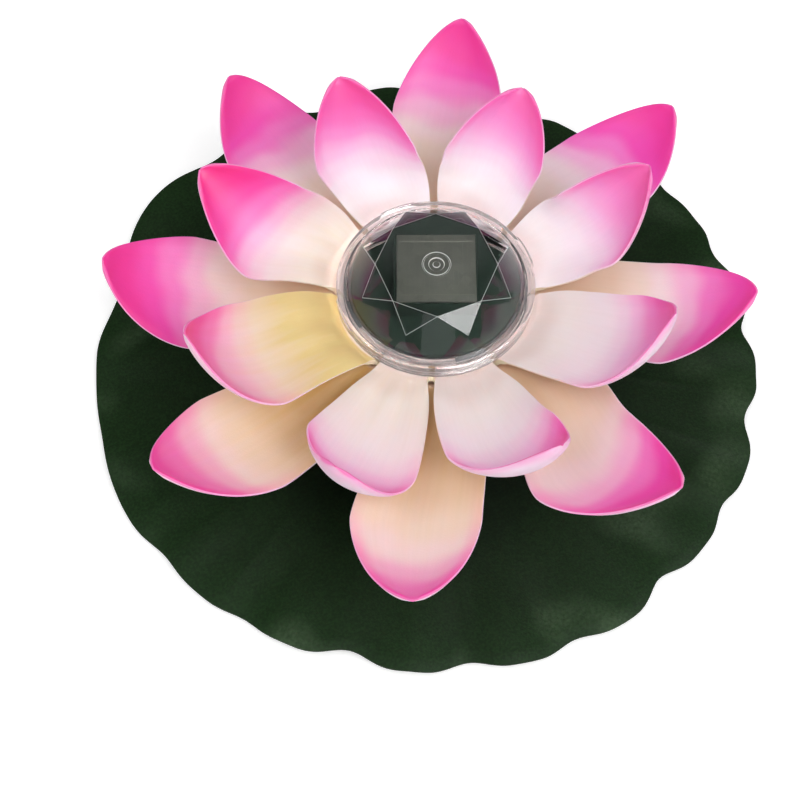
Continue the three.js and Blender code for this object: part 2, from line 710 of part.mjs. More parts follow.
/** The faceted crown: table, star, kite and girdle facets between a table and a girdle. */
function crown(tableRadius, tableHeight, rimRadius, rimHeight, bottom) {
  const half = Math.PI / FACETS;
  const starRadius = tableRadius * (Math.cos(half) + Math.sin(half));
  const starShare = (rimRadius - starRadius * Math.cos(half)) / (rimRadius - tableRadius);
  const starHeight = rimHeight + (tableHeight - rimHeight) * starShare;
  const positions = [];
  const ring = (radius, height, offset, count) => {
    const first = positions.length / 3;
    for (let i = 0; i < count; i += 1) {
      const angle = half + i * ((2 * Math.PI) / count) + offset;
      positions.push(radius * Math.cos(angle), radius * Math.sin(angle), height);
    }
    return (i) => first + ((i + count) % count);
  };
  const table = ring(tableRadius, tableHeight, 0, FACETS);
  const star = ring(starRadius, starHeight, half, FACETS);
  const rim = ring(rimRadius, rimHeight, 0, 4 * FACETS);
  const base = ring(rimRadius, bottom, 0, 4 * FACETS);
  const top = positions.length / 3;
  positions.push(0, 0, tableHeight, 0, 0, bottom);
  const faces = [];
  for (let i = 0; i < FACETS; i += 1) {
    faces.push(top, table(i), table(i + 1));
    faces.push(table(i), star(i), table(i + 1));
    faces.push(table(i), rim(4 * i), star(i), table(i), star(i - 1), rim(4 * i));
    for (let k = 0; k < 4; k += 1) faces.push(star(i), rim(4 * i + k), rim(4 * i + k + 1));
  }
  for (let i = 0; i < 4 * FACETS; i += 1) {
    faces.push(rim(i), base(i), base(i + 1), rim(i), base(i + 1), rim(i + 1));
    faces.push(top + 1, base(i + 1), base(i));
  }
  const geometry = new THREE.BufferGeometry();
  geometry.setAttribute('position', new THREE.Float32BufferAttribute(positions, 3));
  geometry.setIndex(faces);
  return toSolid(geometry);
}

function lens() {
  const shoulder = girdle - RING_TOP;
  const ring = toSolid(turned([
    [skirtInner, ringBottom],
    [skirtOuter, ringBottom],
    [skirtOuter, shoulder],
    [channelOuter, shoulder],
    [channelOuter, ringBottom],
    [ringRadius, ringBottom],
    [ringRadius, girdle - RING_CHAMFER],
    [ringRadius - RING_CHAMFER, girdle],
    [skirtInner, girdle],
  ]));
  const dome = crown(TABLE_RADIUS, tableTop, girdleRadius, girdle, shoulder);
  const hollow = crown(
    TABLE_RADIUS - CROWN_WALL / 2,
    tableTop - CROWN_WALL,
    girdleRadius - CROWN_WALL,
    girdle - RING_TOP,
    ringBottom,
  );
  const lugs = QUARTERS.map((at) => ringSector(
    ringRadius - LUG_BITE, ringRadius + LUG_REACH,
    ringBottom + LUG_STEP_BELOW, girdle - LUG_STEP_ABOVE,
    at, LUG_ANGLE,
  ));
  const notches = QUARTERS.map((at) => ringSector(
    skirtInner - 1, skirtInner + TAB_REACH + GAP,
    ringBottom - 1, ringBottom + DISC_THICKNESS + 2 * GAP,
    at, TAB_ANGLE + TAB_NOTCH_MARGIN,
  ));
  const gate = toSolid(turned([
    [GATE_RING_RADIUS, tableTop - GATE_DEPTH],
    [GATE_RADIUS, tableTop - GATE_DEPTH],
    [GATE_RADIUS, tableTop + 1],
    [GATE_RING_RADIUS, tableTop + 1],
  ], 32));
  const well = cylinder(GATE_RING_RADIUS - GATE_RING_WALL, tableTop - GATE_DEPTH, tableTop + 1);
  return cut(join(ring, dome, ...lugs), hollow, ...notches, gate, well);
}

// ---------------------------------------------------------------- lamp base, tray, cell, lid

const boardScrewX = BOARD_LENGTH / 2 - BOARD_SCREW_INSET;
const boardScrewY = boardFar - BOARD_SCREW_INSET;
const boardScrewPlaces = [[-boardScrewX, boardScrewY], [boardScrewX, boardScrewY]];
const hookPlaces = [-HOOK_SPACING / 2, HOOK_SPACING / 2];

function lampBase() {
  const disc = toSolid(turned([
    [0, discBottom],
    [discRadius - DISC_LIP_WIDTH, discBottom],
    [discRadius - DISC_LIP_WIDTH, discBottom - DISC_LIP],
    [discRadius, discBottom - DISC_LIP],
    [discRadius, discTop + DISC_LIP],
    [discRadius - DISC_RIM_WIDTH, discTop + DISC_LIP],
    [discRadius - DISC_RIM_WIDTH, discTop],
    [0, discTop],
  ]));
  const tabs = QUARTERS.map((at) => ringSector(
    discRadius - 1, discRadius + TAB_REACH, discBottom, discTop - GAP, at, TAB_ANGLE));
  const corners = [0, 0, LID_CORNER, LID_CORNER];
  const walls = toSolid(extruded(
    roundedRectangle(-boxHalfLength, boxHalfLength, ledgeEdge, latchSide, corners),
    boxBottom,
    discBottom + DISC_THICKNESS / 2,
  ));
  const inside = bayLength / 2;
  const batteryBay = box(-inside, inside, HINGE_SIDE, dividerNear, boxBottom - 1, discTop + 1);
  const boardBay = box(
    -inside, inside, dividerFar, latchSide - BOX_WALL, boxBottom - 1, discBottom);
  const dividerReach = BOARD_LENGTH / 2 + 2;
  const wireGaps = [[-inside, -dividerReach], [dividerReach, inside]].map(([x0, x1]) =>
    box(x0, x1, dividerNear - 1, dividerFar + 1, boxBottom - 1, discBottom));
  const ledge = box(
    -boxHalfLength, boxHalfLength, ledgeEdge, HINGE_SIDE - GAP, lidBottom, boxBottom + 1);
  const slots = hookPlaces.map((x) => box(
    x - HOOK_WIDTH / 2 - CLEARANCE, x + HOOK_WIDTH / 2 + CLEARANCE,
    ledgeEdge - 1, HINGE_SIDE + 0.01, lidBottom - 1, lidBottom + HOOK_SLOT_HEIGHT));
  const pocket = cut(
    box(
      -LATCH_WIDTH / 2 - CLEARANCE - BOX_WALL, LATCH_WIDTH / 2 + CLEARANCE + BOX_WALL,
      latchSide - 0.5, latchSide + LATCH_REACH + CLEARANCE + BOX_WALL, boxBottom,
      discBottom + DISC_THICKNESS / 2,
    ),
    box(
      -LATCH_WIDTH / 2 - CLEARANCE, LATCH_WIDTH / 2 + CLEARANCE,
      latchSide, latchSide + LATCH_REACH + CLEARANCE, boxBottom - 1, discBottom - 1,
    ),
  );
  const posts = boardScrewPlaces.map(([x, y]) =>
    cylinder(BOARD_POST_RADIUS, boardTop + GAP, discBottom + DISC_THICKNESS / 2, x, y));
  const postHoles = boardScrewPlaces.map(([x, y]) =>
    cylinder(BOARD_SCREW_RADIUS + GAP, boardTop, discTop - 0.5, x, y, 16));
  const wireHole = cylinder(WIRE_HOLE_RADIUS, discBottom - 1, discTop + 1, LED_X, wireHoleY, 20);
  const shell = cut(join(disc, walls, ...tabs), batteryBay, boardBay, ...wireGaps);
  return cut(join(shell, ledge, pocket, ...posts), ...slots, ...postHoles, wireHole);
}

const turnedSquare = (half, z0, z1) => {
  const g = new THREE.BoxGeometry(2 * half, 2 * half, z1 - z0);
  return toSolid(g.rotateZ(CELL_TURN * DEGREE).translate(0, 0, (z0 + z1) / 2));
};

function cellTray() {
  const plate = toSolid(turned([
    [0, trayBottom],
    [trayRadius, trayBottom],
    [trayRadius, trayTop - TRAY_CHAMFER],
    [trayRadius - TRAY_CHAMFER, trayTop],
    [0, trayTop],
  ]));
  // A square pedestal, hollow from below, holds the cell just under the lens's table.
  const outer = CELL_SIZE / 2 + PEDESTAL_MARGIN;
  const pedestal = turnedSquare(outer, trayBottom + TRAY_THICKNESS / 2, pedestalTop);
  const hollow = turnedSquare(
    outer - PEDESTAL_WALL, trayBottom - 1, pedestalTop - TRAY_RECESS - TRAY_THICKNESS);
  const recess = turnedSquare(CELL_SIZE / 2 + GAP, pedestalTop - TRAY_RECESS, pedestalTop + 1);
  const wireHole = cylinder(
    WIRE_HOLE_RADIUS, trayBottom - 1, pedestalTop + 1, LED_X, wireHoleY, 20);
  return cut(join(plate, pedestal), hollow, recess, wireHole);
}

const solarCell = () => turnedSquare(CELL_SIZE / 2, cellBottom, cellBottom + CELL_THICKNESS);

const stroke = (x0, x1, y0, y1) =>
  box(x0, x1, y0, y1, lidBottom - LETTER_RELIEF, lidBottom + LID_THICKNESS / 2);

/** ON or OFF in plain raised strokes, read from below, with its first letter at the given X. */
function raisedWord(word, x, y) {
  const width = LETTER_HEIGHT * 0.62;
  const pitch = width + LETTER_HEIGHT * 0.28;
  const line = LETTER_STROKE;
  const tall = LETTER_HEIGHT;
  const draw = {
    O: (a) => [
      stroke(a, a + line, y, y + tall),
      stroke(a + width - line, a + width, y, y + tall),
      stroke(a, a + width, y, y + line),
      stroke(a, a + width, y + tall - line, y + tall),
    ],
    F: (a) => [
      stroke(a, a + line, y, y + tall),
      stroke(a, a + width, y + tall - line, y + tall),
      stroke(a, a + width * 0.8, y + tall * 0.46, y + tall * 0.46 + line),
    ],
    N: (a) => [
      stroke(a, a + line, y, y + tall),
      stroke(a + width - line, a + width, y, y + tall),
      toSolid(extruded(
        new THREE.Shape([
          new THREE.Vector2(a, y + tall),
          new THREE.Vector2(a + width - line, y),
          new THREE.Vector2(a + width, y),
          new THREE.Vector2(a + line, y + tall),
        ]),
        lidBottom - LETTER_RELIEF,
        lidBottom + LID_THICKNESS / 2,
      )),
    ],
  };
  return [...word].flatMap((letter, i) => draw[letter](x + i * pitch));
}

function batteryLid() {
  const corners = [0, 0, LID_CORNER, LID_CORNER];
  const plate = toSolid(extruded(
    roundedRectangle(-boxHalfLength, boxHalfLength, HINGE_SIDE, latchSide, corners),
    lidBottom,
    lidTop,
  ));
  const windowNear = HINGE_SIDE + WINDOW_FROM_HINGE;
  const window = toSolid(extruded(
    roundedRectangle(
      -WINDOW_WIDTH / 2, WINDOW_WIDTH / 2, windowNear, windowNear + WINDOW_LENGTH,
      [WINDOW_CORNER, WINDOW_CORNER, 0, 0]),
    lidBottom - 1,
    lidTop + 1,
  ));
  const notchNear = HINGE_SIDE + SIDE_NOTCH_FROM_HINGE;
  const notch = (x0, x1) =>
    box(x0, x1, notchNear, notchNear + SIDE_NOTCH_LENGTH, lidBottom - 1, lidTop + 1);
  const closedEnd = boxHalfLength - SIDE_NOTCH_RIM;
  const notches = [
    notch(-boxHalfLength - 1, -boxHalfLength + SIDE_NOTCH_DEPTH * 0.6),
    notch(closedEnd - SIDE_NOTCH_DEPTH, closedEnd),
  ];
  const hooks = hookPlaces.map((x) => box(
    x - HOOK_WIDTH / 2, x + HOOK_WIDTH / 2,
    HINGE_SIDE - HOOK_REACH, HINGE_SIDE + 0.5,
    hookAxisZ - HOOK_HALF_HEIGHT, hookAxisZ + HOOK_HALF_HEIGHT - 0.1));
  const half = LATCH_WIDTH / 2;
  const tongue = [
    box(-half, -half + LATCH_ARM, latchSide - 0.5, latchSide + LATCH_REACH, lidBottom, lidTop),
    box(half - LATCH_ARM, half, latchSide - 0.5, latchSide + LATCH_REACH, lidBottom, lidTop),
    box(
      -half, half, latchSide + LATCH_REACH - LATCH_BAR, latchSide + LATCH_REACH,
      lidBottom, boxBottom + 1.5),
  ];
  const wordY = HINGE_SIDE + WORD_FROM_HINGE;
  const words = [...raisedWord('OFF', OFF_X, wordY), ...raisedWord('ON', ON_X, wordY)];
  return cut(join(plate, ...hooks, ...tongue, ...words), window, ...notches);
}

// ---------------------------------------------------------------- battery and contacts

/** A solid of revolution whose axis is the battery's; outline points are [radius, X]. */
function alongBattery(outline, segments = 32) {
  const g = turned(outline, segments).rotateY(Math.PI / 2);
  return toSolid(g.translate(0, batteryY, batteryHeight));
}

function battery() {
  const shoulder = batteryEnd - BATTERY_NUB_LENGTH;
  const round = 0.5;
  return alongBattery([
    [0, batteryStart],
    [BATTERY_RADIUS - round, batteryStart],
    [BATTERY_RADIUS, batteryStart + round],
    [BATTERY_RADIUS, shoulder - round],
    [BATTERY_RADIUS - round, shoulder],
    [BATTERY_NUB_RADIUS, shoulder],
    [BATTERY_NUB_RADIUS, batteryEnd],
    [0, batteryEnd],
  ]);
}

function batterySpring() {
  const perTurn = 12;
  const wide = BATTERY_RADIUS - 1.2;
  const narrow = BATTERY_RADIUS / 2;
  const count = SPRING_TURNS * perTurn;
  const points = Array.from({ length: count + 1 }, (_, i) => {
    const share = i / count;
    const angle = share * SPRING_TURNS * 2 * Math.PI;
    const radius = mix(wide, narrow, share);
    return [
      springStart + SPRING_WIRE + share * (SPRING_LENGTH - 2 * SPRING_WIRE),
      batteryY + radius * Math.cos(angle),
      batteryHeight + radius * Math.sin(angle),
    ];
  });
  return wireAlong(points, SPRING_WIRE, count, 6);
}

function batteryContact() {
  const half = BATTERY_RADIUS - 1;
  const plate = box(
    contactStart, contactStart + CONTACT_THICKNESS,
    batteryY - half, batteryY + half, batteryHeight - half, batteryHeight + half);
  const dimple = alongBattery([
    [0, batteryEnd + GAP],
    [BATTERY_NUB_RADIUS * 0.6, batteryEnd + GAP],
    [BATTERY_NUB_RADIUS, contactStart + CONTACT_THICKNESS / 2],
    [0, contactStart + CONTACT_THICKNESS / 2],
  ], 20);
  return join(plate, dimple);
}

// ---------------------------------------------------------------- board and its parts

const leadPlaces = [LED_X - LEAD_PITCH / 2, LED_X + LEAD_PITCH / 2];

function circuitBoard() {
  const half = BOARD_LENGTH / 2;
  const board = toSolid(extruded(
    roundedRectangle(-half, half, boardNear, boardFar, 0.8), boardBottom, boardTop));
  const screws = boardScrewPlaces.map(([x, y]) =>
    cylinder(BOARD_SCREW_RADIUS + GAP, boardBottom - 1, boardTop + 1, x, y, 16));
  const leads = leadPlaces.map((x) =>
    cylinder(LEAD_HALF * Math.SQRT2 + GAP, boardBottom - 1, boardTop + 1, x, ledY, 12));
  return cut(board, ...screws, ...leads);
}

function boardScrew([x, y]) {
  const top = boardBottom - GAP;
  return toSolid(turned([
    [0, top - BOARD_HEAD_HEIGHT],
    [BOARD_HEAD_RADIUS * 0.7, top - BOARD_HEAD_HEIGHT],
    [BOARD_HEAD_RADIUS, top - BOARD_HEAD_HEIGHT / 2],
    [BOARD_HEAD_RADIUS, top],
    [BOARD_SCREW_RADIUS, top],
    [BOARD_SCREW_RADIUS, discTop - 1.5],
    [0, discTop - 0.8],
  ], 16).translate(x, y, 0));
}

function led() {
  const round = LED_RADIUS;
  const dome = [0, 0.25, 0.5, 0.75, 1].map((share) => {
    const angle = (share * Math.PI) / 2;
    return [round * Math.sin(angle), ledTip + round * (1 - Math.cos(angle))];
  });
  const rim = ledBase - LED_RIM_HEIGHT;
  return toSolid(turned([
    ...dome,
    [round, rim],
    [round + LED_RIM, rim],
    [round + LED_RIM, ledBase],
    [0, ledBase],
  ], 24).translate(LED_X, ledY, 0));
}

const ledLead = (x) => box(
  x - LEAD_HALF, x + LEAD_HALF, ledY - LEAD_HALF, ledY + LEAD_HALF, ledBase + GAP, boardTop);

function ledSleeve(x) {
  const outline = [
    [SLEEVE_RADIUS - SLEEVE_WALL, ledBase + GAP],
    [SLEEVE_RADIUS, ledBase + GAP],
    [SLEEVE_RADIUS, boardBottom - GAP],
    [SLEEVE_RADIUS - SLEEVE_WALL, boardBottom - GAP],
  ];
  return toSolid(turned(outline, 12).translate(x, ledY, 0));
}

const switchSlotHalf = (SWITCH_TRAVEL + KNOB_LENGTH) / 2 + GAP;

function switchBody() {
  const halfLength = SWITCH_LENGTH / 2;
  const halfWidth = SWITCH_WIDTH / 2;
  const body = box(
    SWITCH_X - halfLength, SWITCH_X + halfLength,
    switchY - halfWidth, switchY + halfWidth, switchBottom, switchTop);
  const halfSlot = KNOB_WIDTH / 2 + GAP;
  const slot = box(
    SWITCH_X - switchSlotHalf, SWITCH_X + switchSlotHalf,
    switchY - halfSlot, switchY + halfSlot, switchBottom - 1, switchTop - SWITCH_WALL);
  return cut(body, slot);
}

function switchKnob() {
  const top = switchTop - SWITCH_WALL - GAP;
  return box(
    knobX - KNOB_LENGTH / 2, knobX + KNOB_LENGTH / 2,
    switchY - KNOB_WIDTH / 2, switchY + KNOB_WIDTH / 2, switchBottom - KNOB_PROUD, top);
}

function chargeChip() {
  const top = boardBottom - GAP;
  const x = BOARD_LENGTH / 2 - CHIP_FROM_END;
  return box(
    x - CHIP_LENGTH / 2, x + CHIP_LENGTH / 2,
    switchY - CHIP_WIDTH / 2, switchY + CHIP_WIDTH / 2, top - CHIP_HEIGHT, top);
}

function inductor() {
  const r = INDUCTOR_RADIUS;
  const waist = r * INDUCTOR_WAIST;
  const half = INDUCTOR_LENGTH / 2;
  const winding = half - INDUCTOR_FLANGE;
  const taper = r - waist;
  const g = turned([
    [0, -half], [r, -half], [r, -winding], [waist, taper - winding],
    [waist, winding - taper], [r, winding], [r, half], [0, half],
  ], 20).rotateY(Math.PI / 2);
  return toSolid(g.translate(INDUCTOR_FROM_END - BOARD_LENGTH / 2, switchY, boardBottom - GAP - r));
}

/** The four wires: two from the solar cell down to the board, two from the battery's contacts. */
function solarWire(side) {
  const x = LED_X + (side * WIRE_SPREAD) / 2;
  const top = cellBottom - GAP;
  const bottom = boardTop + GAP;
  const middle = (top + bottom) / 2;
  return wireAlong([
    [x, wireHoleY, top],
    [x + side * 0.2, wireHoleY + 0.2, middle + 1],
    [x + side * 0.4, wireHoleY + 0.2, middle - 1],
    [x + side * 0.5, wireHoleY, bottom],
  ], WIRE_RADIUS, 8);
}

function batteryWire(side) {
  const wall = side * (bayLength / 2 - WIRE_RADIUS - GAP);
  const start = dividerNear + WIRE_RADIUS;
  const boardEdge = side * (BOARD_LENGTH / 2 + GAP);
  const height = (boardTop + boardBottom) / 2;
  const turnY = boardNear + 4;
  return wireAlong([
    [wall, start, batteryHeight - 1],
    [wall, dividerFar + 1, height - 0.6],
    [wall - side * 2, turnY - 0.6, height - 0.2],
    [wall - side * 6, turnY, height],
    [boardEdge, turnY, height],
  ], WIRE_RADIUS, 14);
}

// ---------------------------------------------------------------- materials

const finish = (color, roughness, metalness = 0, opacity = 1) =>
  new THREE.MeshStandardMaterial({
    color, roughness, metalness, opacity, transparent: opacity < 1, side: THREE.DoubleSide,
  });

const materials = {
  leafFoam: () => finish('#1b301c', 0.75),
  petalFoam: () => finish('#f3a9cf', 0.7),
  clearPlastic: () => finish('#dfe4e2', 0.08, 0, 0.35),
  blackPlastic: () => finish('#1d2223', 0.55),
  solarCell: () => finish('#3b3c36', 0.3),
  screwSteel: () => finish('#b4b6b8', 0.35, 1),
  springSteel: () => finish('#c9c7c0', 0.3, 1),
  batteryWrap: () => finish('#3f8f4f', 0.4),
  boardLaminate: () => finish('#1f6b3a', 0.5),
  switchShell: () => finish('#c4c6c8', 0.4, 1),
  redWire: () => finish('#b3201c', 0.5),
  blackWire: () => finish('#17181a', 0.5),
};

// ---------------------------------------------------------------- the light

const light = new THREE.Group();

function add(name, solid, material) {
  const mesh = new THREE.Mesh(toGeometry(solid), material);
  mesh.name = name;
  light.add(mesh);
}

function addAll(name, places, make, material) {
  places.forEach((place, i) => add(`${name}_${i + 1}`, make(place), material()));
}

const innerOutwards = GAP;
const outerOutwards = 2 * GAP + SHEET;

add('base_plate', basePlate(), materials.blackPlastic());
addAll('base_screw', screwPlaces, baseScrew, materials.screwSteel);
add('lily_pad', lilyPad(), materials.leafFoam());
add(
  'outer_petal_layer',
  petalLayer(OUTER_PETALS, OUTER_SHAPE, outerOutwards, outerRimHeight, 0),
  materials.petalFoam(),
);
add(
  'inner_petal_layer',
  petalLayer(INNER_PETALS, INNER_SHAPE, innerOutwards, innerRimHeight, 180 / PETALS),
  materials.petalFoam(),
);
add('lamp_cup', lampCup(), materials.clearPlastic());

add('lens', lens(), materials.clearPlastic());
add('cell_tray', cellTray(), materials.blackPlastic());
add('solar_cell', solarCell(), materials.solarCell());
add('lamp_base', lampBase(), materials.blackPlastic());
add('battery_lid', batteryLid(), materials.blackPlastic());
add('battery', battery(), materials.batteryWrap());
add('battery_spring', batterySpring(), materials.springSteel());
add('battery_contact', batteryContact(), materials.springSteel());

add('circuit_board', circuitBoard(), materials.boardLaminate());
addAll('board_screw', boardScrewPlaces, boardScrew, materials.screwSteel);
add('led', led(), materials.clearPlastic());
addAll('led_lead', leadPlaces, ledLead, materials.springSteel);
addAll('led_sleeve', leadPlaces, ledSleeve, materials.clearPlastic);
add('switch_body', switchBody(), materials.switchShell());
add('switch_knob', switchKnob(), materials.blackPlastic());
add('charge_chip', chargeChip(), materials.blackPlastic());
add('inductor', inductor(), materials.blackPlastic());
add('solar_wire_red', solarWire(1), materials.redWire());
add('solar_wire_black', solarWire(-1), materials.blackWire());
add('battery_wire_red', batteryWire(1), materials.redWire());
add('battery_wire_black', batteryWire(-1), materials.blackWire());

export default light;
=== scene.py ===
# %% [markdown]
# # A floating lotus light in Blender
#
# The real thing is a solar pool light: a green foam lily pad, two die-cut foam layers that open
# into sixteen petals, and a clear faceted lamp that stands in a cup at the heart of the flower.
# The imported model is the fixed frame. It holds every part at its real place, and this script
# gives each part the surface that the eye expects. Lengths below are in millimetres, and MM
# turns them into Blender's metres.

import math

import bmesh
import bpy
import numpy as np
from mathutils import Matrix, Vector


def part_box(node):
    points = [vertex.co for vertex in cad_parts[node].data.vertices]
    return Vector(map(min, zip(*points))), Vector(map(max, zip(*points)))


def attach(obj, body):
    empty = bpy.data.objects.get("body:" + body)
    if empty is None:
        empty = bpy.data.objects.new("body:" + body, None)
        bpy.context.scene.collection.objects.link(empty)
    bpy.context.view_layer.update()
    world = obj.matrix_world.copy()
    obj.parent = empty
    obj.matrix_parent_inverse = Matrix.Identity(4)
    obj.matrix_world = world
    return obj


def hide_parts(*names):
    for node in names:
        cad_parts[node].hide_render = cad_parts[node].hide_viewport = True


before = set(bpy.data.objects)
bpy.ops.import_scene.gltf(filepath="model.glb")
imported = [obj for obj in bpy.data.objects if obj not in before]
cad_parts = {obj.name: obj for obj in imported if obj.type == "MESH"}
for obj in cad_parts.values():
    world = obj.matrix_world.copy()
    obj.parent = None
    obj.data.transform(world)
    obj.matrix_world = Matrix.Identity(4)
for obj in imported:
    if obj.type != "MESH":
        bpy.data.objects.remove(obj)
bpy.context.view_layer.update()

MM = 0.001
GAP = 0.3  # between pieces that touch

scene = bpy.context.scene
print("nodes in the frame:", len(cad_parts))


# %% [markdown]
# ## Colour and nodes
#
# Colours are written the way a paint chart gives them, as sRGB hex values, and Cycles wants them
# linear, so one function turns them over. Every shader and every Geometry Nodes tree is built
# with one small function that adds a node, sets its options and links its inputs.

# %% Helpers for colours and nodes
def linear(hex_colour):
    """An sRGB hex value such as '#f3a9cf' as the linear RGBA that Blender's sockets hold."""
    channels = [int(hex_colour[i:i + 2], 16) / 255 for i in (1, 3, 5)]
    to_linear = [c / 12.92 if c <= 0.04045 else ((c + 0.055) / 1.055) ** 2.4 for c in channels]
    return (*to_linear, 1.0)


def add_node(tree, kind, inputs=None, stops=(), **settings):
    """Adds a node. Inputs go by name or number, and each is a value or a socket to link. A colour
    ramp also gets its stops, each a place from 0 to 1 and a hex colour."""
    node = tree.nodes.new(kind)
    for name, value in settings.items():
        setattr(node, name, value)
    for name, value in (inputs or {}).items():
        if isinstance(value, bpy.types.NodeSocket):
            tree.links.new(value, node.inputs[name])
        else:
            node.inputs[name].default_value = value
    if stops:
        ramp = node.color_ramp
        ramp.interpolation = "EASE"
        while len(ramp.elements) < len(stops):
            ramp.elements.new(0.5)
        for element, (place, colour) in zip(ramp.elements, stops):
            element.position = place
            element.color = linear(colour)
    return node


def new_material(name):
    """An empty node material, for the cells below to fill."""
    material = bpy.data.materials.new(name)
    material.use_nodes = True
    material.node_tree.nodes.clear()
    return material, material.node_tree


def finish_material(tree, bump=None, bump_height=0.0, **settings):
    """The Principled shader of a material, with its settings by socket name, and its output."""
    inputs = {name.replace("_", " "): value for name, value in settings.items()}
    if bump is not None:
        relief = add_node(tree, "ShaderNodeBump", {
            "Height": bump, "Distance": bump_height * MM, "Strength": 1.0})
        inputs["Normal"] = relief.outputs["Normal"]
    shader = add_node(tree, "ShaderNodeBsdfPrincipled", inputs)
    add_node(tree, "ShaderNodeOutputMaterial", {"Surface": shader.outputs["BSDF"]})
    return shader


print("white is", linear("#ffffff"))

# %% [markdown]
# ## Camera
#
# The light is seen from well above, as someone at the edge of a pool looks down on it. A 60 mm
# lens a little over half a metre away gives the mild perspective of a product picture. The flower
# is turned against the battery box by half a petal, so the camera stands at that same turn.

# %% Camera
FLOWER_TURN = math.radians(-22.5)
BASE_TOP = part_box("base_plate")[1].z / MM
PAD_THICKNESS = 3.0
PAD_TOP = BASE_TOP + GAP + PAD_THICKNESS

# The next three came out of a least-squares fit of the camera to the real light.
CAMERA_DISTANCE = 556
CAMERA_ELEVATION = math.radians(62.15)
CAMERA_TARGET = Vector((-14, -25, 0))  # from the flower's axis, on the pad

flower_turned = Matrix.Rotation(FLOWER_TURN, 4, "Z")
away = Vector((0, -math.cos(CAMERA_ELEVATION), math.sin(CAMERA_ELEVATION)))
target = flower_turned @ CAMERA_TARGET + Vector((0, 0, PAD_TOP))
direction = flower_turned @ away

camera = bpy.data.objects.new("camera", bpy.data.cameras.new("camera"))
camera.data.lens = 60
camera.data.sensor_width = 36
camera.data.clip_start = 0.01
camera.location = (target + direction * CAMERA_DISTANCE) * MM
camera.rotation_euler = direction.to_track_quat("Z", "Y").to_euler()
scene.collection.objects.link(camera)
scene.camera = camera
print("camera at", [round(v, 3) for v in camera.location])


# %% [markdown]
# ## Floor, sky and lamps
#
# The picture is a bright one with soft shadows. The camera, and anything seen in or through the
# clear plastic near the horizon, sees plain white. The light that reaches the petals is a soft
# even sky with three large lamps, at a level where a colour comes out about as it was written.
# Reflections get a sky of their own: bright behind the flower, dark above the viewer.

# %% World
WHITE = linear("#ffffff")
SKY_LEVEL = 0.52
PANEL_WAY = Vector((0, 0.72, 0.69)).normalized()
PANEL_CORE = math.radians(14)  # the panel is at its full level within this angle of its middle
PANEL_EDGE = math.radians(26)
PANEL_LEVEL = 0.45
OVERHEAD_LEVEL = 0.02
HORIZON_LEVEL = 0.12
HORIZON_EDGE = (0.1, 0.35)  # height of a direction where the horizon's light ends, from and to
THROUGH_OVERHEAD = 0.1  # levels that are seen through clear plastic
THROUGH_HORIZON = 0.3

world = bpy.data.worlds.new("studio")
scene.world = world
world.use_nodes = True
sky = world.node_tree
sky.nodes.clear()
path = add_node(sky, "ShaderNodeLightPath")
place = add_node(sky, "ShaderNodeTexCoord")
turned_back = add_node(sky, "ShaderNodeVectorRotate", {
    "Vector": place.outputs["Generated"], "Angle": -FLOWER_TURN}, rotation_type="Z_AXIS")
axes = add_node(sky, "ShaderNodeSeparateXYZ", {0: turned_back.outputs[0]})
# Reflections: a bright panel behind the flower in an otherwise dark sky.
toward_panel = add_node(sky, "ShaderNodeVectorMath", {
    0: turned_back.outputs[0], 1: PANEL_WAY}, operation="DOT_PRODUCT")
behind = add_node(sky, "ShaderNodeMapRange", {
    "Value": toward_panel.outputs["Value"], "From Min": math.cos(PANEL_EDGE),
    "From Max": math.cos(PANEL_CORE), "To Min": OVERHEAD_LEVEL, "To Max": PANEL_LEVEL},
    interpolation_type="SMOOTHSTEP")
low = add_node(sky, "ShaderNodeMapRange", {
    "Value": axes.outputs["Z"], "From Min": HORIZON_EDGE[0], "From Max": HORIZON_EDGE[1],
    "To Min": 1.0, "To Max": 0.0}, interpolation_type="SMOOTHSTEP")
glossy_level = add_node(sky, "ShaderNodeMix", {
    0: low.outputs[0], 2: behind.outputs[0], 3: HORIZON_LEVEL})
through_level = add_node(sky, "ShaderNodeMix", {
    0: low.outputs[0], 2: THROUGH_OVERHEAD, 3: THROUGH_HORIZON})
lit = add_node(sky, "ShaderNodeMix", {
    0: path.outputs["Is Glossy Ray"], 2: SKY_LEVEL, 3: glossy_level.outputs[0]})
through = add_node(sky, "ShaderNodeMix", {
    0: path.outputs["Is Transmission Ray"], 2: lit.outputs[0], 3: through_level.outputs[0]})
level = add_node(sky, "ShaderNodeMix", {
    0: path.outputs["Is Camera Ray"], 2: through.outputs[0], 3: 1.0})
background = add_node(sky, "ShaderNodeBackground", {
    "Color": WHITE, "Strength": level.outputs[0]})
add_node(sky, "ShaderNodeOutputWorld", {"Surface": background.outputs[0]})
print("sky:", len(sky.nodes), "nodes")


# %% Floor
def build_mesh(name, points, faces):
    """A mesh object from points in millimetres and faces as lists of point numbers."""
    mesh = bpy.data.meshes.new(name)
    mesh.from_pydata([tuple(MM * c for c in p) for p in points], [], [list(f) for f in faces])
    mesh.update()
    piece = bpy.data.objects.new(name, mesh)
    scene.collection.objects.link(piece)
    return piece


FLOOR_HALF = 4000
FLOOR_GLOW = 0.36  # lifts the floor's lit part to white, for the camera only
corners = [(-1, -1), (1, -1), (1, 1), (-1, 1)]
floor = build_mesh("floor", [(x * FLOOR_HALF, y * FLOOR_HALF, 0) for x, y in corners], [range(4)])

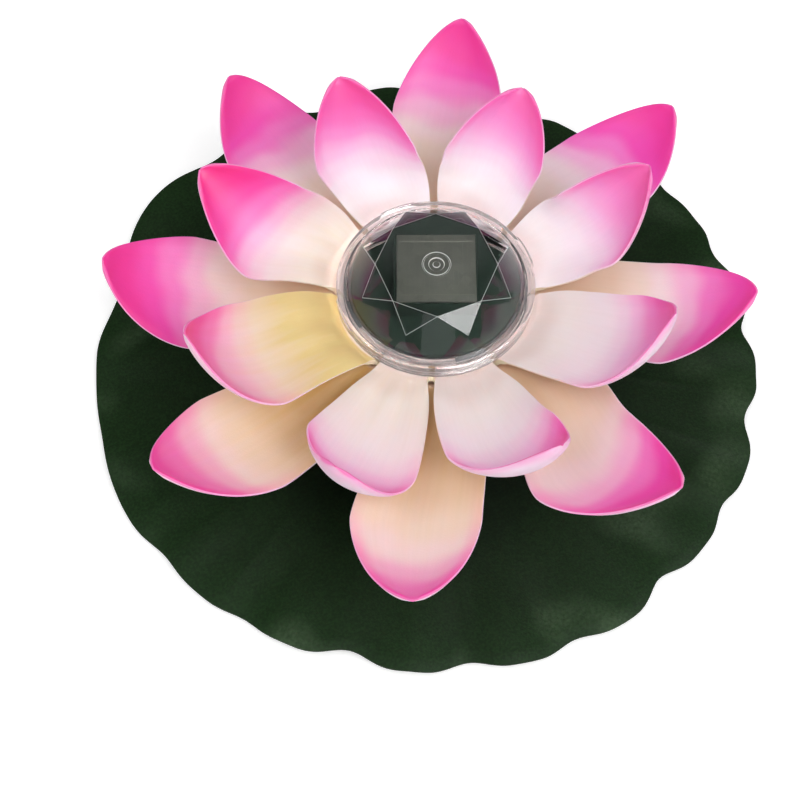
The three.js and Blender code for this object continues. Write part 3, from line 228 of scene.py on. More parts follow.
# Painted board: it keeps the soft shadow, and the camera sees its lit part as plain white.
material, tree = new_material("painted board")
path = add_node(tree, "ShaderNodeLightPath")
own_light = add_node(tree, "ShaderNodeMath", {
    0: path.outputs["Is Camera Ray"], 1: FLOOR_GLOW}, operation="MULTIPLY")
finish_material(
    tree, Base_Color=linear("#f4f4f4"), Roughness=0.9,
    Emission_Color=WHITE, Emission_Strength=own_light.outputs[0])
floor.data.materials.append(material)
print("floor side in mm:", 2 * FLOOR_HALF)

# %% Lamps
AIM = Vector((0, 0, 50))


def soft_lamp(name, toward, distance, size, watts, mirrored=False):
    """A square soft box, the way to it in the flower's own directions, in millimetres. A mirrored
    one shows in reflections and lights no dull surface; the others do the opposite."""
    data = bpy.data.lights.new(name, "AREA")
    data.shape = "SQUARE"
    data.size = size * MM
    data.energy = watts
    lamp = bpy.data.objects.new(name, data)
    way = (flower_turned @ Vector(toward)).normalized()
    lamp.location = (AIM + way * distance) * MM
    lamp.rotation_euler = way.to_track_quat("Z", "Y").to_euler()
    lamp.visible_glossy = mirrored
    lamp.visible_diffuse = not mirrored
    scene.collection.objects.link(lamp)


KEY_WAY = (0.374, -0.435, 0.813)
soft_lamp("key_lamp", KEY_WAY, 1100, 520, 4.2)
soft_lamp("fill_lamp", (-0.5, -0.12, 0.86), 1100, 700, 2.5)
# A weak, low one on the viewer's side lightens the shade there.
soft_lamp("front_lamp", (0.05, -0.88, 0.47), 1100, 700, 1.6)
# The key lamp's place is also where one star facet mirrors to, and this fills that facet.
soft_lamp("facet_light", KEY_WAY, 1000, 560, 14.0, mirrored=True)
# Two small bright strips draw the lines along the ring's rounded edges, from two sides that no
# flat facet mirrors to the viewer.
soft_lamp("left_strip", (-0.657, -0.187, 0.727), 1100, 200, 3.0, mirrored=True)
soft_lamp("right_strip", (0.657, -0.187, 0.727), 1100, 200, 3.0, mirrored=True)


# %% [markdown]
# ## Petals
#
# Each petal is a strip of foam sheet that was cut flat and moulded hot. It leaves the bowl's rim
# along a curved midrib, bends across like a spoon, twists a little, and narrows to a tip. That is
# a rule with a few numbers, so Geometry Nodes is the natural tool: a grid of points goes in, and
# for each point the tree finds its place on the midrib by de Casteljau's construction, bends it
# across, twists it, and turns it to its place round the flower.

# %% Petal tree
PETALS = 8
ALONG_STEPS = 52
ACROSS_STEPS = 20
TIP_CROWDING = 1.5  # above 1, rows crowd towards the tip, where the outline turns round
PETAL_INPUTS = {
    "Rim": "NodeSocketVector",
    "Root Handle": "NodeSocketVector",
    "Tip Handle": "NodeSocketVector",
    "Tip": "NodeSocketVector",
    "Root Half Width": "NodeSocketFloat",
    "Half Width": "NodeSocketFloat",
    "Tip Half Width": "NodeSocketFloat",
    "Widest": "NodeSocketFloat",
    "Swell": "NodeSocketFloat",
    "Fullness": "NodeSocketFloat",
    "Taper": "NodeSocketFloat",
    "Root Cup": "NodeSocketFloat",
    "Cup": "NodeSocketFloat",
    "Twist": "NodeSocketFloat",
    "Sway": "NodeSocketFloat",
    "Place": "NodeSocketFloat",
    "Turn": "NodeSocketFloat",
    "Fluting": "NodeSocketFloat",
    "Steps Along": "NodeSocketInt",
    "Steps Across": "NodeSocketInt",
    "Material": "NodeSocketMaterial",
}
# Shares of a petal's length: where it has left the bowl's curve, and by where it has its full
# cup, turn and twist
LEAVES_BOWL = 0.3
CUPPED_BY = 0.5
TURNED_BY = 0.6
TWISTED_BY = 0.7
TIP_OPENING = 0.1

FLUTE_WAVES = 1.5  # from the midrib to each edge
FLUTES_FULL = 0.12  # shares of the length by where the flutes are full, and where they end
FLUTES_END = 0.55


def new_tree(name, inputs):
    """An empty Geometry Nodes tree with named inputs, and the sockets that give their values."""
    tree = bpy.data.node_groups.new(name, "GeometryNodeTree")
    for socket, kind in inputs.items():
        tree.interface.new_socket(socket, in_out="INPUT", socket_type=kind)
    tree.interface.new_socket("Geometry", in_out="OUTPUT", socket_type="NodeSocketGeometry")
    return tree, add_node(tree, "NodeGroupInput").outputs


petal_tree, given = new_tree("petal", PETAL_INPUTS)
print("inputs of a petal:", len(PETAL_INPUTS))

# %% Grid of a petal
# A flat grid, one unit long and one wide, holds along in Y and across in X.
columns = add_node(petal_tree, "ShaderNodeMath", {0: given["Steps Across"], 1: 1.0})
rows = add_node(petal_tree, "ShaderNodeMath", {0: given["Steps Along"], 1: 1.0})
grid = add_node(petal_tree, "GeometryNodeMeshGrid", {
    "Size X": 1.0, "Size Y": 1.0, "Vertices X": columns.outputs[0], "Vertices Y": rows.outputs[0]})
flat = add_node(petal_tree, "ShaderNodeSeparateXYZ", {
    0: add_node(petal_tree, "GeometryNodeInputPosition").outputs[0]})
to_tip = add_node(petal_tree, "ShaderNodeMath", {0: 0.5, 1: flat.outputs["Y"]},
                  operation="SUBTRACT").outputs[0]
crowded = add_node(petal_tree, "ShaderNodeMath", {0: to_tip, 1: TIP_CROWDING},
                   operation="POWER").outputs[0]
along = add_node(petal_tree, "ShaderNodeMath", {0: 1.0, 1: crowded},
                 operation="SUBTRACT").outputs[0]
across = add_node(petal_tree, "ShaderNodeMath", {0: flat.outputs["X"], 1: -2.0},
                  operation="MULTIPLY").outputs[0]
marked = grid.outputs["Mesh"]
for name, value in (("along", along), ("across", across)):
    marked = add_node(petal_tree, "GeometryNodeStoreNamedAttribute", {
        "Geometry": marked, "Name": name, "Value": value},
        data_type="FLOAT", domain="POINT").outputs[0]
mapped = add_node(petal_tree, "GeometryNodeStoreNamedAttribute", {
    "Geometry": marked, "Name": "UVMap", "Value": grid.outputs["UV Map"]},
    data_type="FLOAT2", domain="CORNER").outputs[0]
# The geometry keeps along and across, so every later step reads them back from there.
along = add_node(petal_tree, "GeometryNodeInputNamedAttribute", {"Name": "along"},
                 data_type="FLOAT").outputs["Attribute"]
across = add_node(petal_tree, "GeometryNodeInputNamedAttribute", {"Name": "across"},
                  data_type="FLOAT").outputs["Attribute"]

# %% Midrib
# Four points are mixed down to one, and the last two of them give the midrib's direction.
points = [given["Rim"], given["Root Handle"], given["Tip Handle"], given["Tip"]]
while len(points) > 1:
    chord = points
    points = [add_node(petal_tree, "ShaderNodeMix", {0: along, 4: a, 5: b},
                       data_type="VECTOR").outputs[1] for a, b in zip(points, points[1:])]
step = add_node(petal_tree, "ShaderNodeVectorMath", {0: chord[1], 1: chord[0]},
                operation="SUBTRACT")
ahead = add_node(petal_tree, "ShaderNodeVectorMath", {0: step.outputs[0]}, operation="NORMALIZE")
upward = add_node(petal_tree, "ShaderNodeVectorMath", {
    0: ahead.outputs[0], 1: (0, 1, 0)}, operation="CROSS_PRODUCT")

# %% Half width
# It swells to the widest place, then tapers to the rounded tip.
to_widest = add_node(petal_tree, "ShaderNodeMapRange", {
    "Value": along, "From Max": given["Widest"], "To Min": 1.0, "To Max": 0.0}).outputs[0]
to_widest = add_node(petal_tree, "ShaderNodeMath", {0: to_widest, 1: given["Swell"]},
                     operation="POWER").outputs[0]
swell = add_node(petal_tree, "ShaderNodeMapRange", {
    "Value": to_widest, "To Min": given["Half Width"],
    "To Max": given["Root Half Width"]}).outputs[0]
past = add_node(petal_tree, "ShaderNodeMapRange", {
    "Value": along, "From Min": given["Widest"]}).outputs[0]
spent = add_node(petal_tree, "ShaderNodeMath", {0: past, 1: given["Fullness"]},
                 operation="POWER").outputs[0]
left = add_node(petal_tree, "ShaderNodeMath", {0: 1.0, 1: spent}, operation="SUBTRACT").outputs[0]
tapered = add_node(petal_tree, "ShaderNodeMath", {0: left, 1: given["Taper"]},
                   operation="POWER").outputs[0]
narrowed = add_node(petal_tree, "ShaderNodeMath", {0: swell, 1: tapered},
                    operation="MULTIPLY").outputs[0]
half = add_node(petal_tree, "ShaderNodeMath", {0: narrowed, 1: given["Tip Half Width"]},
                operation="MAXIMUM").outputs[0]

# %% Bend across and flutes
# The bend is an arc whose half angle grows to the full cup and opens a little at the tip.
cupped = add_node(petal_tree, "ShaderNodeMapRange", {
    "Value": along, "From Max": CUPPED_BY,
    "To Min": given["Root Cup"], "To Max": given["Cup"]},
    interpolation_type="SMOOTHSTEP").outputs[0]
opened = add_node(petal_tree, "ShaderNodeMapRange", {
    "Value": along, "From Min": TURNED_BY, "To Min": 1.0, "To Max": 1.0 - TIP_OPENING},
    interpolation_type="SMOOTHSTEP").outputs[0]
bend = add_node(petal_tree, "ShaderNodeMath", {0: cupped, 1: opened},
                operation="MULTIPLY").outputs[0]
radius = add_node(petal_tree, "ShaderNodeMath", {0: half, 1: bend}, operation="DIVIDE").outputs[0]
swing = add_node(petal_tree, "ShaderNodeMath", {0: bend, 1: across},
                 operation="MULTIPLY").outputs[0]
centre = add_node(petal_tree, "ShaderNodeCombineXYZ", {"Z": radius}).outputs[0]
arc = add_node(petal_tree, "ShaderNodeVectorRotate", {
    "Vector": (0, 0, 0), "Center": centre, "Angle": swing}, rotation_type="X_AXIS").outputs[0]

# Shallow flutes run up from the root, and fade before the petal is widest.
flutes = add_node(petal_tree, "ShaderNodeMath", {0: across, 1: FLUTE_WAVES * 2 * math.pi},
                  operation="MULTIPLY").outputs[0]
flutes = add_node(petal_tree, "ShaderNodeMath", {0: flutes}, operation="COSINE").outputs[0]
flute_start = add_node(petal_tree, "ShaderNodeMapRange", {
    "Value": along, "From Max": FLUTES_FULL, "To Max": given["Fluting"]},
    interpolation_type="SMOOTHSTEP").outputs[0]
flute_end = add_node(petal_tree, "ShaderNodeMapRange", {
    "Value": along, "From Min": FLUTES_FULL, "From Max": FLUTES_END, "To Min": 1.0,
    "To Max": 0.0},
    interpolation_type="SMOOTHSTEP").outputs[0]
fluting = add_node(petal_tree, "ShaderNodeMath", {0: flute_start, 1: flute_end},
                   operation="MULTIPLY").outputs[0]
fluting = add_node(petal_tree, "ShaderNodeMath", {0: fluting, 1: flutes},
                   operation="MULTIPLY").outputs[0]
ripple = add_node(petal_tree, "ShaderNodeCombineXYZ", {"Z": fluting}).outputs[0]
section = add_node(petal_tree, "ShaderNodeVectorMath", {0: arc, 1: ripple}).outputs[0]

# %% Twist about the midrib
twist = add_node(petal_tree, "ShaderNodeMapRange", {
    "Value": along, "From Max": TWISTED_BY, "To Max": given["Twist"]},
    interpolation_type="SMOOTHSTEP").outputs[0]
twisted = add_node(petal_tree, "ShaderNodeVectorRotate", {
    "Vector": section, "Angle": twist}, rotation_type="X_AXIS").outputs[0]
offset = add_node(petal_tree, "ShaderNodeSeparateXYZ", {0: twisted}).outputs
lifted = add_node(petal_tree, "ShaderNodeVectorMath", {
    0: upward.outputs[0], "Scale": offset["Z"]}, operation="SCALE").outputs[0]
raised = add_node(petal_tree, "ShaderNodeVectorMath", {0: points[0], 1: lifted}).outputs[0]
raised = add_node(petal_tree, "ShaderNodeSeparateXYZ", {0: raised}).outputs

# %% Place round the flower
# Near the rim the petal wraps round the bowl; further out it is straight across.
straight = add_node(petal_tree, "ShaderNodeMapRange", {
    "Value": along, "From Max": LEAVES_BOWL}, interpolation_type="SMOOTHSTEP").outputs[0]
round_share = add_node(petal_tree, "ShaderNodeMath", {0: 1.0, 1: straight},
                       operation="SUBTRACT").outputs[0]
round_side = add_node(petal_tree, "ShaderNodeMath", {0: round_share, 1: offset["Y"]},
                      operation="MULTIPLY").outputs[0]
wrap = add_node(petal_tree, "ShaderNodeMath", {0: round_side, 1: raised["X"]},
                operation="DIVIDE").outputs[0]
along_squared = add_node(petal_tree, "ShaderNodeMath", {0: along, 1: along},
                         operation="MULTIPLY").outputs[0]
swayed = add_node(petal_tree, "ShaderNodeMath", {0: along_squared, 1: given["Sway"]},
                  operation="MULTIPLY").outputs[0]
side = add_node(petal_tree, "ShaderNodeMath", {0: straight, 1: offset["Y"], 2: swayed},
                operation="MULTIPLY_ADD").outputs[0]
turned = add_node(petal_tree, "ShaderNodeMapRange", {
    "Value": along, "From Max": TURNED_BY, "To Max": given["Turn"]},
    interpolation_type="SMOOTHSTEP").outputs[0]
bearing = add_node(petal_tree, "ShaderNodeMath", {0: given["Place"], 1: turned}).outputs[0]
bearing = add_node(petal_tree, "ShaderNodeMath", {0: bearing, 1: wrap}).outputs[0]
straight_out = add_node(petal_tree, "ShaderNodeCombineXYZ", {
    "X": raised["X"], "Y": side, "Z": raised["Z"]}).outputs[0]
placed = add_node(petal_tree, "ShaderNodeVectorRotate", {
    "Vector": straight_out, "Angle": bearing}, rotation_type="Z_AXIS").outputs[0]

shaped = add_node(petal_tree, "GeometryNodeSetPosition", {
    "Geometry": mapped, "Position": placed}).outputs[0]
real = add_node(petal_tree, "GeometryNodeRealizeInstances", {0: shaped}).outputs[0]
painted = add_node(petal_tree, "GeometryNodeSetMaterial", {
    "Geometry": real, "Material": given["Material"]}).outputs[0]
add_node(petal_tree, "NodeGroupOutput", {"Geometry": painted})
print("petal tree:", len(petal_tree.nodes), "nodes")


# %% Run a tree
def run_tree(tree, values):
    """Evaluates a Geometry Nodes tree with its inputs by name, and returns the plain mesh."""
    holder = bpy.data.objects.new("holder", bpy.data.meshes.new("holder"))
    scene.collection.objects.link(holder)
    modifier = holder.modifiers.new("tree", "NODES")
    modifier.node_group = tree
    sockets = {item.name: item.identifier for item in tree.interface.items_tree
               if item.in_out == "INPUT"}
    for name, value in values.items():
        modifier[sockets[name]] = value
    evaluated = holder.evaluated_get(bpy.context.evaluated_depsgraph_get())
    mesh = bpy.data.meshes.new_from_object(evaluated)
    blank = holder.data
    bpy.data.objects.remove(holder)
    bpy.data.meshes.remove(blank)
    return mesh


# %% [markdown]
# ## Foam of the petals
#
# The layers are closed-cell EVA foam, about 2 mm thick: soft, satin, and a little see-through, so
# light bleeds through a petal's thin edge. The colour is printed before moulding. It is deepest
# magenta at the tip, fades to a pale pink over the middle and is nearly white near the root,
# where a few petals have a warm cream cast. On the outer petals nearest the camera that cast is
# partly painted shade. The print ends at the knife: the cut edge is the pale
# foam itself, and the back has only a breath of the same colours.

# %% Petal print
FRONT_STOPS = [
    (0.00, "#eddbda"), (0.14, "#f6e8ea"), (0.34, "#f8e6ef"), (0.46, "#f9d6ea"),
    (0.56, "#fdb9e4"), (0.67, "#fd7acd"), (0.78, "#fd46b2"), (0.89, "#fc2a9c"), (1.00, "#fb2492"),
]
SOFT_STOPS = [
    (0.00, "#eddbda"), (0.14, "#f6e8ea"), (0.34, "#f8e5ef"), (0.50, "#f9dbee"),
    (0.62, "#f9c8e8"), (0.74, "#faaae0"), (0.86, "#fa8dd2"), (1.00, "#fa7cc6"),
]
# The outer layer's roots, which show through the slits, are a deeper warm tan than the inner
# layer's: partly the print's warm cast and partly painted shade in the slits.
OUTER_STOPS = [
    (0.00, "#e2c3ac"), (0.16, "#ebcebd"), (0.32, "#f5dcd4"), (0.44, "#f9dce3"),
    (0.56, "#fbb4dc"), (0.67, "#fd7acd"), (0.78, "#fd42ba"), (0.89, "#fc2ca8"), (1.00, "#fb26a2"),
]
BACK_STOPS = [
    (0.00, "#f1e6e2"), (0.30, "#f5ebee"), (0.60, "#f3e4ee"), (0.85, "#f1d9e9"),
    (0.96, "#f4bedd"), (1.00, "#fa7cc0"),
]
CREAM = linear("#f3e69a")
STREAK_WIDTH = 1.3  # faint lengthwise streaks of the print, across the petal
GRAIN = 0.35  # size of the foam's skin grain; real cells are finer than the eye resolves
PRINT_WAVER = 0.035  # how far the print's front wavers, as a share of the petal's length
PRINT_BOW = 0.07  # how much further it reaches down at the edges
EDGE_FROM = 0.72  # share of the half width where the deeper margin starts
MARKS = ("along", "across", "flush", "start", "warm")  # what the print reads at each point


def foam_grain(tree, size):
    """Fine leathery noise in object space; returns its height."""
    spots = add_node(tree, "ShaderNodeTexCoord").outputs["Object"]
    return add_node(tree, "ShaderNodeTexNoise", {
        "Vector": spots, "Scale": 1 / (size * MM * 2), "Detail": 2.0,
        "Roughness": 0.5}).outputs["Fac"]


def petal_print(name, stops, soft_stops, edge_colour, edge_strength, warmth=1.0):
    """The printed colour: a ramp along the petal, deepened at its margin, with faint streaks."""
    material, tree = new_material(name)
    along, across, flush, start, warm = (
        add_node(tree, "ShaderNodeAttribute", attribute_name=mark).outputs["Fac"]
        for mark in MARKS)
    # The ramp's front is not straight: it wavers from side to side and bows towards the edges.
    width = add_node(tree, "ShaderNodeMath", {0: across}, operation="ABSOLUTE").outputs[0]
    bow = add_node(tree, "ShaderNodeMath", {0: width, 1: 2.5}, operation="POWER").outputs[0]
    spots = add_node(tree, "ShaderNodeTexCoord").outputs["Object"]
    cloud = add_node(tree, "ShaderNodeTexNoise", {
        "Vector": spots, "Scale": 40.0, "Detail": 1.0}).outputs["Fac"]
    waver = add_node(tree, "ShaderNodeMapRange", {
        "Value": cloud, "From Min": 0.3, "From Max": 0.7, "To Min": -PRINT_WAVER,
        "To Max": PRINT_WAVER}).outputs[0]
    shifted = add_node(tree, "ShaderNodeMath", {0: along, 1: waver}).outputs[0]
    shifted = add_node(tree, "ShaderNodeMath", {0: shifted, 1: start},
                       operation="SUBTRACT").outputs[0]
    shifted = add_node(tree, "ShaderNodeMath", {0: bow, 1: PRINT_BOW, 2: shifted},
                       operation="MULTIPLY_ADD").outputs[0]
    deep, soft = (add_node(tree, "ShaderNodeValToRGB", {"Fac": shifted}, ramp).outputs[0]
                  for ramp in (stops, soft_stops))
    colour = add_node(tree, "ShaderNodeMix", {0: flush, 6: soft, 7: deep},
                      data_type="RGBA").outputs[2]
    # A magenta margin, a few millimetres wide, that starts where the petal is widest.
    margin = add_node(tree, "ShaderNodeMapRange", {
        "Value": width, "From Min": EDGE_FROM, "From Max": 1.0, "To Max": edge_strength},
        interpolation_type="SMOOTHSTEP").outputs[0]
    outer = add_node(tree, "ShaderNodeMapRange", {
        "Value": along, "From Min": 0.35, "From Max": 0.75},
        interpolation_type="SMOOTHSTEP").outputs[0]
    margin = add_node(tree, "ShaderNodeMath", {0: margin, 1: outer},
                      operation="MULTIPLY").outputs[0]
    colour = add_node(tree, "ShaderNodeMix", {0: margin, 6: colour, 7: linear(edge_colour)},
                      data_type="RGBA").outputs[2]
    # Lengthwise streaks: noise squeezed across the petal and stretched along it.
    stretched = add_node(tree, "ShaderNodeCombineXYZ", {"X": across, "Y": along}).outputs[0]
    stretched = add_node(tree, "ShaderNodeVectorMath", {
        0: stretched, 1: (24 / STREAK_WIDTH, 3, 1)}, operation="MULTIPLY").outputs[0]
    streak = add_node(tree, "ShaderNodeTexNoise", {
        "Vector": stretched, "Scale": 1.0, "Detail": 3.0}).outputs["Fac"]
    # The cream cast of some roots runs up the petal in the same streaks. On the outer petals nearest
    # the camera it is stronger, and partly painted shade. Its warmth is a share of what a petal's
    # own number asks for.
    root = add_node(tree, "ShaderNodeMapRange", {
        "Value": along, "From Min": 0.1, "From Max": 0.7, "To Min": warmth,
        "To Max": 0.3 * warmth},
        interpolation_type="SMOOTHSTEP").outputs[0]
    broad = add_node(tree, "ShaderNodeVectorMath", {
        0: stretched, 1: (0.3, 0.4, 1)}, operation="MULTIPLY").outputs[0]
    broad = add_node(tree, "ShaderNodeTexNoise", {
        "Vector": broad, "Scale": 1.0, "Detail": 1.0}).outputs["Fac"]
    uneven = add_node(tree, "ShaderNodeMapRange", {
        "Value": broad, "From Min": 0.3, "From Max": 0.7, "To Min": 0.8,
        "To Max": 1.15}).outputs[0]
    cast = add_node(tree, "ShaderNodeMath", {0: root, 1: warm}, operation="MULTIPLY").outputs[0]
    cast = add_node(tree, "ShaderNodeMath", {0: cast, 1: uneven}, operation="MULTIPLY").outputs[0]
    colour = add_node(tree, "ShaderNodeMix", {0: cast, 6: colour, 7: CREAM},
                      data_type="RGBA", blend_type="MULTIPLY").outputs[2]
    streak = add_node(tree, "ShaderNodeMapRange", {
        "Value": streak, "From Min": 0.3, "From Max": 0.7, "To Min": 0.975,
        "To Max": 1.0}).outputs[0]
    colour = add_node(tree, "ShaderNodeVectorMath", {0: colour, "Scale": streak},
                      operation="SCALE").outputs[0]
    finish_material(
        tree, foam_grain(tree, GRAIN), 0.05, Base_Color=colour, Roughness=0.55,
        Subsurface_Weight=0.4, Subsurface_Radius=(1.0, 0.55, 0.5), Subsurface_Scale=3 * MM,
        Sheen_Weight=0.08)
    return material


petal_front = petal_print("printed EVA foam", FRONT_STOPS, SOFT_STOPS, "#ff4aae", 0.4)
outer_front = petal_print("printed EVA foam, outer", OUTER_STOPS, SOFT_STOPS, "#ff4aae", 0.4)
petal_back = petal_print("EVA foam back", BACK_STOPS, BACK_STOPS, "#f98cc8", 0.35, warmth=0.3)
print("nodes of the print:", len(petal_front.node_tree.nodes))

# %% Cut edge
# The cut edge takes a little of the print where the colour bled into it: cream at the root,
# pink towards the tip.
petal_edge, tree = new_material("cut EVA foam edge")
grain = foam_grain(tree, GRAIN)
along = add_node(tree, "ShaderNodeAttribute", attribute_name="along").outputs["Fac"]
bleed = add_node(tree, "ShaderNodeValToRGB", {"Fac": along}, [
    (0.0, "#e9d9bd"), (0.3, "#f0dcd2"), (0.55, "#f4c6de"), (0.8, "#f79fd0"), (1.0, "#f672b6"),
]).outputs[0]
tone = add_node(tree, "ShaderNodeMapRange", {
    "Value": grain, "To Min": 0.92, "To Max": 1.04}).outputs[0]
tint = add_node(tree, "ShaderNodeVectorMath", {0: bleed, "Scale": tone},
                operation="SCALE").outputs[0]
finish_material(tree, grain, 0.06, Base_Color=tint, Roughness=0.7,
                Subsurface_Weight=0.3, Subsurface_Radius=(1.0, 0.5, 0.6),
                Subsurface_Scale=2.5 * MM)
print("cut edge:", petal_edge.name)


# %% [markdown]
# ## Two petal layers
#
# Each layer is one sheet: a bowl round the cup whose rim opens into eight petals, with short
# slits between them that end in a rounded notch. No two petals of a moulded flower are alike, so
# each has its own small set of numbers. The petal tree makes the eight blades. The bowl is then
# grown inwards from their root points, so blade and bowl share their vertices and the sheet stays
# one surface, and Solidify gives it the foam's thickness.

# %% Numbers of the petals
SHEET = 1.8
ROOT_HALF_WIDTH = 14.3
TIP_HALF_WIDTH = 0.5
WIDEST = 0.56
SWELL = 1.5
ROOT_CUP = 6
ROOT_PULL = 0.36
RIM_FLARE = 3.4
INNER_ROOT_DROP = 1
LAYER_STEP = 2.8  # from the inner layer's rim down to the outer one's, close behind the slits
CUP_FLANGE = 1.5
CUP_WALL = 1.2
CUP_DRAFT = 0.105
CUP_CORNER = 5

OUTER_SHAPE = {"reach": 128, "rise": 65, "half": 24.8, "fullness": 1.5, "taper": 0.62, "pull": 0.38}
INNER_SHAPE = {"reach": 92, "rise": 88, "half": 23.3, "fullness": 1.6, "taper": 0.6, "pull": 0.48}

# turn: from the petal's even place; out, up: of its tip past the layer's reach and rise; leave,
# arrive: slope of the midrib at rim and tip; cup: half the angle it bends across; twist; sway:
# of the tip; flush: how deep the print gets; start: how much later than on the others it
# starts; lean: how much later still on one side; warm: the cream cast, partly painted shade on the
# outer petals nearest the camera; flutes: height of the folds at the root.
# A least-squares program fitted this rule to the outline of the real light's petals. Its output,
# rounded, gave the numbers from turn to sway, and some of them, mainly leave, were then moved.
# Its averages gave reach, rise, half and pull in the shapes above. The others were set one by one.
PETAL_KEYS = ("turn", "out", "up", "leave", "arrive", "cup", "twist", "sway",
              "flush", "start", "lean", "warm", "flutes")
OUTER_PETALS = [
    (-9, -7, 3, -4, 57, 21, -5, 4, 1.0, 0.1, 0.05, 0.2, 0.2),
    (-6, -1, -4, 3, 56, 22, -11, 0, 1.0, -0.02, 0.0, 0.0, 0.0),
    (-4, -3, 0, 2, 58, 34, -17, -4, 0.95, -0.02, 0.08, 0.25, 0.2),
    (-1, -1, -2, 0, 64, 17, 11, -4, 1.0, -0.02, 0.0, 0.2, 0.0),
    (0, 0, 0, -4, 65, 12, -6, -2, 1.0, -0.02, -0.06, 0.4, 0.3),
    (-1, 5, 1, -2, 62, 22, -1, -7, 1.0, 0.2, 0.0, 0.9, 0.3),
    (-5, 6, -5, 8, 56, 27, 6, 2, 1.0, 0.26, 0.0, 0.65, 0.2),
    (-14, 1, 19, 14, 68, 42, 20, 16, 1.0, 0.09, 0.0, 0.3, 0.2),
]
INNER_PETALS = [
    (-5, -7, 0, 12, 67, 74, 24, 3, 0.45, 0.03, 0.06, 0.0, 0.2),
    (1, -12, -7, 4, 47, 58, 10, -6, 0.5, 0.06, 0.12, 0.0, 0.1),
    (3, -10, -1, 4, 54, 54, -17, 3, 0.7, 0.03, 0.09, 0.0, 0.1),
    (10, 2, -3, 34, 48, 52, -33, -9, 1.0, 0.02, 0.08, 0.3, 0.2),
    (12, 9, 8, 44, 88, 40, -14, -9, 0.9, 0.12, 0.0, 1.15, 0.6),
    (2, 8, -7, 14, 98, 38, -14, -1, 0.7, 0.06, 0.0, 0.25, 0.5),
    (-9, 5, 3, 26, 98, 54, 16, 18, 0.75, 0.08, 0.0, 0.1, 0.4),
    (-11, -1, 7, 42, 96, 42, 7, 11, 0.7, 0.08, 0.0, 0.1, 0.2),
]
MARGIN = 3.0  # the hot mould presses the margin of a petal thinner than the rest
MARGIN_SHARE = 0.38
CUP_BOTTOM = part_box("lamp_cup")[0].z / MM
CUP_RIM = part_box("lamp_cup")[1].z / MM
CUP_BOTTOM_RADIUS = 32.111  # outside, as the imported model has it
INNER_RIM_HEIGHT = CUP_RIM - CUP_FLANGE - GAP - SHEET / 2 - INNER_ROOT_DROP
print("inner rim at", round(INNER_RIM_HEIGHT, 2), "mm")


# %% Section of the bowl
POLE_RADIUS = 4.0  # of the last ring of points round the axis
ARC_STEPS = 8


def ease(x):
    """Smoothstep: 0 up to 0, 1 from 1, with a soft start and end."""
    x = np.clip(x, 0, 1)
    return x * x * (3 - 2 * x)


def arc_points(centre, radius, start, end, steps):
    """Points of an arc in a radius and height plane; its angles are in degrees."""
    angles = np.radians(np.linspace(start, end, steps + 1))
    return [(centre[0] + radius * math.cos(a), centre[1] + radius * math.sin(a)) for a in angles]


def bowl_line(outwards, rim_height):
    """The middle of the sheet in section, from the rim down the wall and in to the axis."""
    slope = math.hypot(1, CUP_DRAFT)
    lean = math.degrees(math.atan(CUP_DRAFT))
    floor = CUP_BOTTOM - outwards
    corner = CUP_CORNER + CUP_WALL + outwards
    wall_top = rim_height - RIM_FLARE

    def wall(height):
        return CUP_BOTTOM_RADIUS + CUP_DRAFT * (height - CUP_BOTTOM) + outwards * slope

    rim = (wall(wall_top) + RIM_FLARE, rim_height)
    centre = (wall(floor + corner) - corner * slope, floor + corner)
    line = arc_points((rim[0], wall_top), RIM_FLARE, 90, 180, ARC_STEPS)
    line += arc_points(centre, corner, -lean, -90, ARC_STEPS)
    line.append((POLE_RADIUS, floor))
    return rim, line


def along_line(line, distances):
    """Radius and height at distances down a line of points."""
    line = np.array(line)
    run = np.concatenate([[0], np.cumsum(np.hypot(*np.diff(line, axis=0).T))])
    return np.stack([np.interp(distances, run, line[:, k]) for k in (0, 1)], axis=-1), run[-1]


inner_line = bowl_line(GAP + SHEET / 2, INNER_RIM_HEIGHT)[1]
print("inner bowl's length in section:", round(along_line(inner_line, 0)[1], 1), "mm")

# %% One blade
SLIT_STEPS = 6
OUTER_SLITS = (1.5,) * PETALS  # depth of the slit after each petal
INNER_SLITS = (1.5, 1.5, 1.5, 6, 7, 2.5, 7, 6)
# how far round, in degrees, each slit was cut from the middle between its petals
OUTER_SHIFTS = (0,) * PETALS
INNER_SHIFTS = (0, 0, 0, 0, 9, -3, -9, 0)
BOWL_ROWS = 24
BOWL_CROWDING = 1.2  # above 1, rows crowd towards the rim
BOWL_MARKS = (0.0, 0.0, 1.0, 0.0, 0.15)  # of the print, all over the bowl
ROOT_BAND = 0.03  # share of the length where the sheet keeps its full thickness


